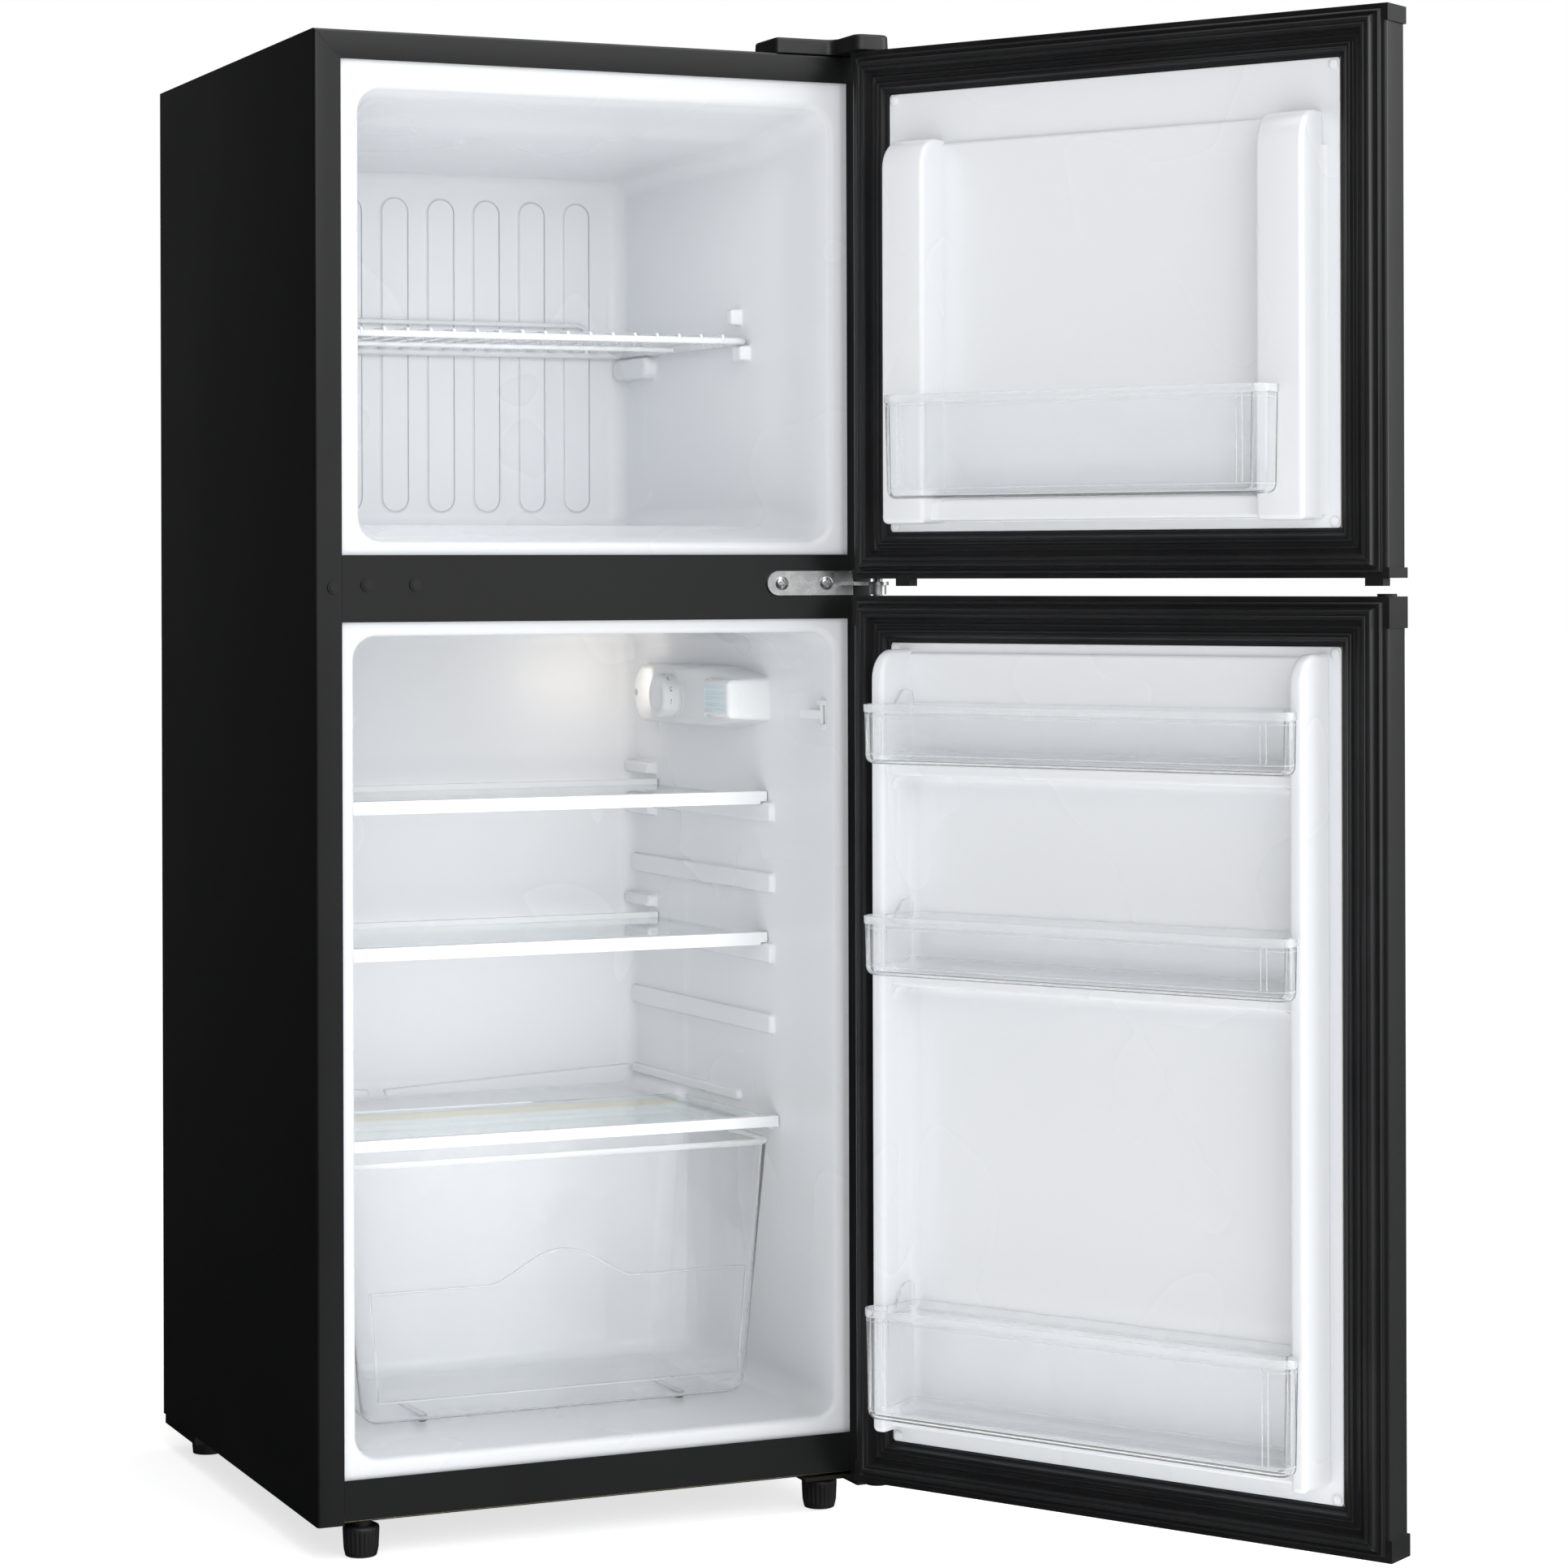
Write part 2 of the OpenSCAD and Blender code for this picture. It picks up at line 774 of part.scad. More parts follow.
// Screws of all three hinges
module hinge_screws() {
    color("#c9ccce")
    placed() {
        for (x = screw_x)
            translate([x, -hinge_plate_t, hinge_z])
                rotate([90, 0, 0])
                    screw_up();
        for (x = top_screw_x)
            translate([x, top_screw_y, cab_h + leaf_t])
                screw_up();
        for (x = bottom_screw_x)
            translate([x, bottom_screw_y, -leaf_t])
                mirror([0, 0, 1])
                    screw_up();
    }
}

// ---------- controls ----------

// Cavity side of the right wall, used to cut the housing's pieces to the drafted wall
module before_wall() {
    gap = 0.2;
    linear_extrude(cab_h)
        polygon([
            [0, 0],
            [fridge_wall_x(0) - gap, 0],
            [fridge_wall_x(fridge_depth) - gap, fridge_depth],
            [0, fridge_depth]]);
}

// Outline of the housing on the wall, shrunk by g
module housing_outline(g) {
    nose = lamp_h / 2;
    r = housing_r - g;
    translate([housing_y1, control_z])
        circle(r);
    polygon([
        [housing_y1, control_z - r],
        [housing_y1, control_z + r],
        [lamp_y1, control_z + r],
        [housing_y0 + g, control_z + nose - g],
        [housing_y0 + g, control_z - nose + g],
        [lamp_y1, control_z - r]]);
}

// Housing of the thermostat and the lamp on the right wall
module thermostat_housing() {
    color("#dfe3e6")
    placed()
    intersection() {
        difference() {
            sideways(housing_face, fridge_half)
                housing_outline(0);
            sideways(housing_face + housing_t, fridge_half + 1)
                housing_outline(housing_t);
            block([0, 0, control_z - lamp_h / 2 - loose],
                [fridge_half, lamp_y1 + loose, control_z + lamp_h / 2 + loose]);
            rod_x(dial_y, control_z - 1, housing_face - 1, housing_face + housing_t + 1,
                dial_shaft_r + running);
        }
        before_wall();
    }
}

// Thermostat behind the dial
module thermostat_body() {
    behind_face = 8;
    wall_room = 0.9;
    half_l = 16;
    half_h = 14;
    color("#9a9da0")
    placed()
        block([housing_face + behind_face, dial_y - half_l, control_z - half_h],
            [fridge_wall_x(dial_y + half_l) - wall_room, dial_y + half_l, control_z + half_h]);
}

// Translucent cover of the lamp
module lamp_cover() {
    wall = 1.6;
    x0 = housing_face - lamp_out;
    h = lamp_h / 2;
    color("#f4f6f7")
    placed()
    intersection() {
        difference() {
            block([x0, lamp_y0, control_z - h], [fridge_half, lamp_y1, control_z + h]);
            block([x0 + wall, lamp_y0 + wall, control_z - h + wall],
                [fridge_half + 1, lamp_y1 + 1, control_z + h - wall]);
        }
        before_wall();
    }
}

// Small bulb and its socket
module lamp_bulb() {
    bulb_x = housing_face + 10;
    bulb_y = 158;
    bulb_r = 9;
    neck_r = 5.5;
    socket_y = 188;
    socket_l = 18;
    socket_r = 7.5;
    color("#fff3d8")
    placed() {
        translate([bulb_x, bulb_y, control_z])
            sphere(bulb_r);
        rod_y(bulb_x, control_z, bulb_y + 6, socket_y + 2, neck_r);
        rod_y(bulb_x, control_z, socket_y, socket_y + socket_l, socket_r);
    }
}

// Frame of the door light switch, with two ears round the lever's pin
module light_switch_bezel() {
    ear_out = 6;
    half_d = 3.5;
    window_h = lever_pin_z - 2;
    pin_play = 0.3;
    color("#eef1f3")
    placed()
    difference() {
        intersection() {
            block([fridge_half - 20, lever_y - half_d, lever_z - lever_ear_z],
                [fridge_half, lever_y + half_d, lever_z + lever_ear_z]);
            before_wall();
            translate([fridge_wall_x(lever_y) - ear_out, 0, 0])
                cube([ear_out + 2, cab_d, cab_h]);
        }
        block([0, lever_y - 10, lever_z - window_h],
            [fridge_wall_x(lever_y) - 1, lever_y + 10, lever_z + window_h]);
        rod_z(lever_x, lever_y, lever_z - lever_pin_z - pin_play, lever_z + lever_pin_z + pin_play,
            lever_pin_r + running);
    }
}

// Sprung lever that leans back from its bezel
module light_switch_lever() {
    lever_l = 25;
    lever_lean = 20;
    color("#f2f4f6")
    placed()
        translate([lever_x, lever_y, lever_z])
            rotate([0, 0, lever_lean]) {
                translate([-lever_t / 2, 0, -3.5])
                    cube([lever_t, lever_l, 7]);
                translate([0, 0, -lever_pin_z])
                    cylinder(h = 2 * lever_pin_z, r = lever_pin_r);
            }
}

// Dial on its shaft, with a flat finger grip
module thermostat_dial() {
    color("#eceff1")
    placed()
    translate([housing_face - 0.4, dial_y, control_z - 1])
        rotate([0, -90, 0])
            difference() {
                union() {
                    cylinder(h = dial_h, r = dial_r, $fn = 72);
                    translate([0, 0, -7])
                        cylinder(h = 8, r = dial_shaft_r);
                }
                translate([-dial_r, 4, dial_h - 6])
                    cube([2 * dial_r, dial_r, 7]);
                translate([-dial_r, -4 - dial_r, dial_h - 6])
                    cube([2 * dial_r, dial_r, 7]);
            }
}

// ---------- feet ----------

// Levelling foot: grooved cap, neck and stud
module levelling_foot() {
    grips = 24;
    sole_h = 3;
    translate([0, 0, -foot_h])
        cylinder(h = sole_h + 1, r = foot_cap_r - 2);
    translate([0, 0, sole_h - foot_h])
        linear_extrude(foot_cap_h - sole_h)
            difference() {
                circle(foot_cap_r);
                for (i = [0 : grips - 1])
                    rotate(i * 360 / grips)
                        translate([foot_cap_r + 0.4, 0])
                            circle(1.3, $fn = 16);
            }
    translate([0, 0, foot_cap_h - foot_h - 1])
        cylinder(h = foot_h - foot_cap_h + 1 - film, r = foot_neck_r);
    translate([0, 0, -1])
        cylinder(h = stud_l, r = stud_r);
}

module front_left_foot() {
    color("#151517")
    placed()
        translate([-foot_x, foot_y, 0])
            levelling_foot();
}

module front_right_foot() {
    color("#151517")
    placed()
        translate([foot_x, foot_y, 0])
            levelling_foot();
}

// Two fixed glides under the rear skids
module rear_feet() {
    color("#151517")
    placed()
    both_sides()
    translate([rear_foot_x, rear_foot_y, 0]) {
        translate([0, 0, -foot_h])
            cylinder(h = foot_h - skid_h, r1 = rear_foot_r - 2, r2 = rear_foot_r);
        translate([0, 0, -skid_h - 1])
            cylinder(h = skid_h + 1, r = stud_r);
    }
}

// ---------- machine compartment ----------

// Welded compressor shell on its foot plate
module compressor() {
    dome = 22;
    color("#1b1c1e")
    placed()
    translate([compressor_x, compressor_y, 0]) {
        translate([0, 0, compressor_z])
            rotate_extrude()
                polygon(concat(
                    [[0, 0], [compressor_r * 0.6, 0], [compressor_r, dome]],
                    [for (a = [0 : 15 : 90])
                        [compressor_r * cos(a), compressor_h - 2 * dome + 2 * dome * sin(a)]]));
        difference() {
            block([-mount_half_x - 12, -mount_half_y - 12, compressor_z - 2],
                [mount_half_x + 12, mount_half_y + 12, compressor_z + 1]);
            for (x = [-mount_half_x, mount_half_x])
                for (y = [-mount_half_y, mount_half_y])
                    rod_z(x, y, compressor_z - 3, compressor_z + 3, 5 + running);
        }
    }
}

// Rubber mounts between the foot plate and the pan
module compressor_mounts() {
    color("#2a2a2a")
    placed()
    translate([compressor_x, compressor_y, 0])
        for (x = [-mount_half_x, mount_half_x])
            for (y = [-mount_half_y, mount_half_y]) {
                rod_z(x, y, pan_t, compressor_z - 2, 9);
                rod_z(x, y, compressor_z - 3, compressor_z + 4, 5);
            }
}

// Cover over the start relay on the compressor's side
module relay_cover() {
    color("#0f0f10")
    placed()
    translate([compressor_x, compressor_y, compressor_z])
    difference() {
        block([compressor_r - 12, -22, 40], [compressor_r + 28, 22, 95]);
        rod_z(0, 0, 0, compressor_h, compressor_r + film);
    }
}

// Condenser tube: upright runs joined by half rings, against the left side sheet
module condenser_coil() {
    x = -inner_half + coil_r + film;
    bend_r = coil_pitch / 2;
    color("#b06a3b")
    placed()
    for (i = [0 : coil_runs - 1]) {
        y = 65 + i * coil_pitch;
        rod_z(x, y, coil_z0, coil_z1, coil_r);
        if (i < coil_runs - 1)
            translate([x, y + bend_r, i % 2 == 0 ? coil_z1 : coil_z0])
                rotate([90, i % 2 == 0 ? 0 : 180, 90])
                    rotate_extrude(angle = 180)
                        translate([bend_r, 0])
                            circle(coil_r, $fn = 24);
    }
}

// Evaporator plate with its tube, behind the freezer's back wall
module evaporator() {
    half = freezer_back_half - 12;
    y0 = freezer_depth + liner_t + 0.4;
    z0 = freezer_z0 + 30;
    z1 = freezer_back_z1 - 14;
    runs = 5;
    pitch = (z1 - z0 - 40) / (runs - 1);
    color("#c9cdd0")
    placed() {
        block([-half, y0, z0], [half, y0 + evaporator_t, z1]);
        for (i = [0 : runs - 1])
            rod_x(y0 + evaporator_t + evaporator_r - 0.6, z0 + 20 + i * pitch, -half + 30, half - 30,
                evaporator_r);
    }
}

// Tray over the compressor where the melt water dries off
module drip_tray() {
    wall = 1.6;
    half_x = 72;
    half_y = 44;
    color("#3a3c3f")
    placed()
    translate([compressor_x, compressor_y, tray_z]) {
        difference() {
            block([-half_x, -half_y, 0], [half_x, half_y, tray_h]);
            block([-half_x + wall, -half_y + wall, wall], [half_x - wall, half_y - wall, tray_h + 1]);
        }
        rod_z(0, 0, film - tray_up, 1, 12);
    }
}

// Drain from the gutter down to the tray
module drain_tube() {
    color("#dcdfe2")
    placed()
    difference() {
        rod_z(drain_x, drain_y, tray_z + 12, step_z - liner_t - 0.5, drain_r);
        rod_z(drain_x, drain_y, tray_z, step_z, drain_r - 1.5);
    }
}

// Gland that a mains lead enters by
module cord_gland() {
    color("#101011")
    placed()
    difference() {
        union() {
            rod_y(gland_x, gland_z, cab_d - 20, cab_d - 20 + gland_l, gland_r);
            rod_y(gland_x, gland_z, cab_d - 10, cab_d - 20 + gland_l, gland_r + 3);
        }
        rod_y(gland_x, gland_z, cab_d - 21, cab_d, gland_bore_r);
    }
}

// ---------- shelves and drawer ----------

// Coated wire rack: a frame, thin wires welded on top of it and a raised rear rim
module freezer_shelf() {
    y0 = shelf_y + frame_wire_r;
    y1 = freezer_depth - 8;
    z = wire_shelf_z + frame_wire_r + film;
    side_wire_r = frame_wire_r - 0.5;
    front_half = freezer_wall_x(y0) - frame_wire_r - 2;
    rear_half = freezer_wall_x(y1) - frame_wire_r - 2;
    lean = atan2(front_half - rear_half, y1 - y0);
    side_l = norm([front_half - rear_half, y1 - y0]);
    thin_z = z + frame_wire_r + thin_wire_r - 0.8;
    thin_half = rear_half - 9;
    thin_pitch = 2 * thin_half / (thin_wires - 1);
    rim_half = 137;
    rim_wire_r = 2.4;
    rim_top = z + 28;
    color("#eef1f3")
    placed() {
        rod_x(y0, z, -front_half - 2, front_half + 2, frame_wire_r);
        rod_x(y1, z, -rear_half - 2, rear_half + 2, frame_wire_r);
        both_sides() {
            translate([front_half, y0, z - 0.3])
                rotate([0, 0, lean])
                    rotate([-90, 0, 0])
                        cylinder(h = side_l, r = side_wire_r);
            rod_z(rim_half - 2, y1 - 0.5, z, rim_top + 0.4, rim_wire_r - 0.5);
        }
        rod_x(y1, rim_top, -rim_half, rim_half, rim_wire_r);
        for (i = [0 : thin_wires - 1])
            rod_y(-thin_half + i * thin_pitch, thin_z, y0 - 1, y1 + 1, thin_wire_r);
    }
}

// Plan of a glass pane that follows the drafted walls, from depth y0 to depth y1
module pane(z, t, y0, y1, gap) {
    front = fridge_wall_x(y0) - gap;
    rear = fridge_wall_x(y1) - gap;
    translate([0, 0, z])
        linear_extrude(t)
            polygon([[-front, y0], [front, y0], [rear, y1], [-rear, y1]]);
}

// Glass that rests on a pair of ledges
module shelf_glass(z) {
    color([0.8, 0.88, 0.88, 0.5])
    placed()
        pane(z + loose, glass_t, shelf_y + trim_t, shelf_y + shelf_d - trim_t, shelf_side_gap + 1);
}

// White bar on the glass's front edge, with a lip under the glass between the ledges
module shelf_front_trim(z) {
    bar_d = 14;
    lip_t = 2;
    lip_gap = ledge_out + 2;
    color("#f1f4f5")
    placed()
    difference() {
        union() {
            pane(z + loose, trim_h - loose, shelf_y, shelf_y + bar_d, shelf_side_gap);
            pane(z + loose - lip_t, lip_t + 1, shelf_y, shelf_y + bar_d, lip_gap);
        }
        pane(z + loose - slice, glass_t + 2 * slice, shelf_y + trim_t - slice, shelf_y + bar_d + 1,
            shelf_side_gap + 1 - slice);
    }
}

// White upstand on the glass's rear edge
module shelf_rear_rim(z) {
    y1 = shelf_y + shelf_d;
    color("#f1f4f5")
    placed()
    difference() {
        pane(z + loose, trim_h, y1 - 7, y1, shelf_side_gap);
        pane(z, glass_t + loose + slice, y1 - 8, y1 - trim_t + slice, shelf_side_gap + 1 - slice);
    }
}

module upper_shelf_glass() {
    shelf_glass(upper_shelf_z);
}

module upper_shelf_front_trim() {
    shelf_front_trim(upper_shelf_z);
}

module upper_shelf_rear_rim() {
    shelf_rear_rim(upper_shelf_z);
}

module lower_shelf_glass() {
    shelf_glass(lower_shelf_z);
}

module lower_shelf_front_trim() {
    shelf_front_trim(lower_shelf_z);
}

module lower_shelf_rear_rim() {
    shelf_rear_rim(lower_shelf_z);
}

// Glass over the crisper, resting on the step and two short ledges
module crisper_cover_glass() {
    color([0.8, 0.88, 0.88, 0.5])
    placed()
        pane(cover_z, glass_t, cover_y + trim_t, cover_y + cover_d, shelf_side_gap + 1);
}

// White trim on the crisper cover's front edge
module crisper_cover_trim() {
    bar_d = 10;
    color("#f1f4f5")
    placed()
    difference() {
        pane(cover_z - 1.8, trim_h, cover_y, cover_y + bar_d, shelf_side_gap);
        pane(cover_z - slice, glass_t + 2 * slice, cover_y + trim_t - slice, cover_y + bar_d + 1,
            shelf_side_gap + 1 - slice);
    }
}

// Corner posts of the drawer's tapered body, shrunk by g
module drawer_body(g) {
    r = 12 - g;
    top = fridge_z0 + 3 + drawer_h;
    low = fridge_z0 + 3 + g;
    lean_in = 18;
    y0 = drawer_y + 12;
    y1 = drawer_y + drawer_d - 12;
    hull() {
        for (side = [-1, 1])
            for (y = [y0, y1]) {
                reach = fridge_wall_x(y) - 12;
                translate([side * (reach - 12 + (y == y0 ? 6 : 2)), y, top + g])
                    cylinder(h = slice, r = r, $fn = 32);
                translate([side * (reach - 12 - lean_in), y, low + r])
                    sphere(r, $fn = 24);
            }
    }
}

// Outline of the raised lower part of the drawer's front, with an arch over the grip
module drawer_relief() {
    low = fridge_z0 + 14;
    shoulder = low + 97;
    arch_half = 60;
    arch_up = 24;
    half = fridge_wall_x(drawer_y) - 40;
    polygon(concat(
        [[-half, low], [-half - 7, shoulder]],
        [for (i = [-12 : 12]) [arch_half * i / 12, shoulder + 4 + arch_up * cos(90 * i / 12)]],
        [[half + 7, shoulder], [half, low]]));
}

// Clear drawer with a rim, two runners and a raised lower front
module crisper_drawer() {
    top = fridge_z0 + 3 + drawer_h;
    rim_h = 3;
    color([0.86, 0.9, 0.93, 0.4])
    placed()
    difference() {
        union() {
            drawer_body(0);
            translate([0, 0, top - rim_h])
                linear_extrude(rim_h)
                    polygon([
                        [-fridge_wall_x(drawer_y) + 10, drawer_y],
                        [fridge_wall_x(drawer_y) - 10, drawer_y],
                        [fridge_wall_x(drawer_y + drawer_d) - 10, drawer_y + drawer_d],
                        [-fridge_wall_x(drawer_y + drawer_d) + 10, drawer_y + drawer_d]]);
            standing(drawer_y - 1, drawer_y + 1)
                drawer_relief();
            both_sides()
                block([110, drawer_y + 20, fridge_z0 + 0.5], [118, drawer_y + 90, fridge_z0 + 4]);
        }
        drawer_body(clear_t);
        translate([0, 0, 0.1])
            drawer_body(clear_t);
    }
}

// ---------- doors ----------

// Folded steel skin: the front and two sides with a lip behind the gasket
module door_skin(z0, z1) {
    lip = 16;
    color("#3b3c3e")
    swung()
    difference() {
        block([-door_half, door_out, z0], [door_half, door_in, z1]);
        block([-door_half + sheet_t, door_out + sheet_t, z0 - 1],
            [door_half - sheet_t, door_in - sheet_t, z1 + 1]);
        block([-door_half + lip, door_in - 2, z0 - 1], [door_half - lip, door_in + 1, z1 + 1]);
    }
}

// Foam inside a door: a slab behind the skin, and a smaller one that reaches into both caps
module door_foam(z0, z1, cap0, cap1) {
    gap = sheet_t + film;
    inset = cap_wall + film;
    color("#e8dcae")
    swung()
    difference() {
        union() {
            block([-door_half + gap, door_out + gap, z0 + cap0 + film],
                [door_half - gap, door_in - gap, z1 - cap1 - film]);
            block([-door_half + inset, door_out + inset, z0 + cap_wall],
                [door_half - inset, door_in - inset, z1 - cap_wall]);
        }
        rod_z(pin_x, pin_y, z0, z0 + cap_boss_h + film, boss_r + film);
        rod_z(pin_x, pin_y, z1 - cap_boss_h - film, z1, boss_r + film);
    }
}

// Hollow cap across a door's end from its closed face at z0 to its open face at z1
module door_cap(z0, z1) {
    closed_z = z0 + sign(z1 - z0) * (cap_wall - film);
    boss_z = z0 + sign(z1 - z0) * cap_boss_h;
    low = min(z0, z1);
    high = max(z0, z1);
    difference() {
        union() {
            difference() {
                block([-door_half - cap_proud, door_out - cap_proud, low],
                    [door_half + cap_proud, door_in, high]);
                block([-door_half + cap_wall, door_out + cap_wall, min(closed_z, z1 + sign(z1 - z0))],
                    [door_half - cap_wall, door_in - cap_wall, max(closed_z, z1 + sign(z1 - z0))]);
            }
            intersection() {
                rod_z(pin_x, pin_y, min(z0, boss_z), max(z0, boss_z), boss_r);
                block([0, door_out + sheet_t + film, min(z0, boss_z)],
                    [door_half - sheet_t - film, door_in, max(z0, boss_z)]);
            }
        }
        rod_z(pin_x, pin_y, min(z0, boss_z) - 1, max(z0, boss_z) + 1, bush_r + running);
    }
}

// Bush for a hinge pin
module door_bush(z0, z1) {
    difference() {
        rod_z(pin_x, pin_y, z0 + 0.2, z1 - 0.2, bush_r);
        rod_z(pin_x, pin_y, z0 - 1, z1 + 1, pin_r + running);
    }
}

// One frame of the gasket, from a distance inside the door's edge, w wide and t thick
module gasket_frame(z0, z1, edge, w, t) {
    difference() {
        block([-door_half + edge, door_in, z0 + edge], [door_half - edge, door_in + t, z1 - edge]);
        block([-door_half + edge + w, door_in - 1, z0 + edge + w],
            [door_half - edge - w, door_in + t + 1, z1 - edge - w]);
    }
}

// Magnetic gasket: base, sealing bulb and bellows
module door_gasket(z0, z1) {
    color("#17181a")
    swung() {
        gasket_frame(z0, z1, gasket_edge, gasket_w - gasket_edge - 0.2, gasket_base_t);
        gasket_frame(z0, z1, bulb_edge, bulb_w, gasket_t);
        gasket_frame(z0, z1, bellows_edge, bellows_w, bellows_t);
    }
}

// Outline of a dyke from the side, with a round upper end
module dyke_side(y1, z0, z1, r) {
    translate([door_in, z0])
        square([y1 - door_in, z1 - z0 - r]);
    translate([door_in, z1 - r - 0.1])
        square([y1 - door_in - r, r + 0.1]);
    intersection() {
        translate([y1 - r, z1 - r])
            circle(r);
        translate([door_in, z1 - r - 0.1])
            square([y1 - door_in, r + 0.1]);
    }
}

// Vacuum-formed door liner: panel, two dykes, ledges under the bins and four corner nubs
module door_liner(z0, z1, dyke_half, dyke_w, dyke_y, dyke_z0, dyke_z1, ledges, ledge_t) {
    color("#e3e8ec")
    swung()
    difference() {
        union() {
            block([-door_liner_half, door_in, z0 + gasket_w],
                [door_liner_half, door_in + liner_t, z1 - gasket_w]);
            block([-dyke_half + 1, door_in, dyke_z0 + 1], [dyke_half - 1, door_in + panel_out, dyke_z1 - 6]);
            both_sides()
                sideways(dyke_half - dyke_w, dyke_half)
                    dyke_side(dyke_y, dyke_z0, dyke_z1, 24);
            for (z = ledges)
                block([-dyke_half + dyke_w - 1, door_in, z - ledge_t],
                    [dyke_half - dyke_w + 1, dyke_y - 12, z]);
            both_sides()
                for (z = [z0 + gasket_w + 5, z1 - gasket_w - 5])
                    rod_y(door_liner_half - 5, z, door_in, door_in + liner_t + 2, 4);
        }
        block([-dyke_half + 3, door_in - 1, dyke_z0 + 3],
            [dyke_half - 3, door_in + panel_out - liner_t, dyke_z1 - 8]);
        both_sides()
            sideways(dyke_half - dyke_w + liner_t, dyke_half - liner_t)
                translate([-1, 0])
                    dyke_side(dyke_y - liner_t + 1, dyke_z0 + liner_t, dyke_z1 - liner_t, 22);
    }
}

// Plan of a bin: narrow between the dykes, wide in front of them, shrunk by g
module bin_plan(dyke_half, dyke_w, dyke_y, inset, reach, g) {
    inner = dyke_half - dyke_w - 1.5 - g;
    outer = dyke_half - inset - g;
    wide_y = dyke_y + 1.5 + g;
    front_y = dyke_y + reach - g;
    r = 13 - g;
    translate([-inner, bin_floor_y + g])
        square([2 * inner, wide_y - bin_floor_y - g + 0.5]);
    translate([-outer, wide_y])
        square([2 * outer, front_y - wide_y - r]);
    translate([-outer + r, wide_y])
        square([2 * (outer - r), front_y - wide_y]);
    intersection() {
        for (side = [-1, 1])
            translate([side * (outer - r), front_y - r])
                circle(r);
        translate([-outer, wide_y])
            square([2 * outer, front_y - wide_y]);
    }
}

// Clear door bin with a floor, a rim and raised ends
module door_bin(z, h, dyke_half, dyke_w, dyke_y, inset, reach, ear_up) {
    end_x = dyke_half - dyke_w - 1.5;
    rim_h = 4;
    color([0.86, 0.9, 0.93, 0.4])
    swung() {
        difference() {
            translate([0, 0, z])
                linear_extrude(h)
                    bin_plan(dyke_half, dyke_w, dyke_y, inset, reach, 0);
            translate([0, 0, z + clear_t])
                linear_extrude(h)
                    bin_plan(dyke_half, dyke_w, dyke_y, inset, reach, clear_t);
        }
        if (ear_up > 0)
            both_sides()
                sideways(end_x - clear_t, end_x)
                    polygon([
                        [bin_floor_y, z + h - rim_h],
                        [bin_floor_y, z + h + ear_up],
                        [bin_floor_y + 16, z + h + ear_up],
                        [dyke_y + 1.5, z + h],
                        [dyke_y + 1.5, z + h - rim_h]]);
    }
}

module freezer_door_skin() {
    door_skin(freezer_door_z0 + cap_freezer_bottom, freezer_door_z1 - cap_freezer_top);
}

module freezer_door_foam() {
    door_foam(freezer_door_z0, freezer_door_z1, cap_freezer_bottom, cap_freezer_top);
}

module freezer_door_top_cap() {
    color("#121315")
    swung()
        door_cap(freezer_door_z1, freezer_door_z1 - cap_freezer_top);
}

// The freezer door's bottom cap carries the two stops
module freezer_door_bottom_cap() {
    stop_h = 6;
    stop_d = 12;
    free_stop_x = -door_half + 4;
    free_stop_w = 15;
    pin_stop_x = pin_x - 44;
    pin_stop_w = 13;
    color("#121315")
    swung() {
        door_cap(freezer_door_z0, freezer_door_z0 + cap_freezer_bottom);
        block([free_stop_x, door_in - stop_d, freezer_door_z0 - stop_h],
            [free_stop_x + free_stop_w, door_in, freezer_door_z0 + 1]);
        block([pin_stop_x, door_in - stop_d, freezer_door_z0 - stop_h],
            [pin_stop_x + pin_stop_w, door_in, freezer_door_z0 + 1]);
    }
}

module freezer_door_bushes() {
    color("#d8dadb")
    swung() {
        door_bush(freezer_door_z1 - cap_boss_h, freezer_door_z1);
        door_bush(freezer_door_z0, freezer_door_z0 + cap_boss_h);
    }
}

module freezer_door_gasket() {
    door_gasket(freezer_door_z0, freezer_door_z1);
}

module freezer_door_liner() {
    door_liner(freezer_door_z0, freezer_door_z1, freezer_dyke_half, freezer_dyke_w, freezer_dyke_y,
        freezer_door_z0 + 44, freezer_door_z1 - 78, [freezer_bin_z - loose], 17);
}

module freezer_door_bin() {
    door_bin(freezer_bin_z, freezer_bin_h, freezer_dyke_half, freezer_dyke_w, freezer_dyke_y,
        freezer_bin_inset, freezer_reach, 0);
}

module fridge_door_skin() {
    door_skin(fridge_door_z0 + cap_fridge_bottom, fridge_door_z1 - cap_fridge_top);
}

module fridge_door_foam() {
    door_foam(fridge_door_z0, fridge_door_z1, cap_fridge_bottom, cap_fridge_top);
}

// The fridge door's top cap carries a blind button over the spare hinge hole
module fridge_door_top_cap() {
    color("#121315")
    swung() {
        door_cap(fridge_door_z1, fridge_door_z1 - cap_fridge_top);
        rod_z(-pin_x, pin_y, fridge_door_z1 - 1, fridge_door_z1 + 2, 7.5);
    }
}

module fridge_door_bottom_cap() {
    color("#121315")
    swung()
        door_cap(fridge_door_z0, fridge_door_z0 + cap_fridge_bottom);
}

module fridge_door_bushes() {
    color("#d8dadb")
    swung() {
        door_bush(fridge_door_z1 - cap_boss_h, fridge_door_z1);
        door_bush(fridge_door_z0, fridge_door_z0 + cap_boss_h);
    }
}

module fridge_door_gasket() {
    door_gasket(fridge_door_z0, fridge_door_z1);
}

module fridge_door_liner() {
    door_liner(fridge_door_z0, fridge_door_z1, fridge_dyke_half, fridge_dyke_w, fridge_dyke_y,
        fridge_door_z0 + 54, fridge_door_z1 - 43,
        [for (z = [deep_bin_z, middle_bin_z, top_bin_z]) z - loose], 10);
}

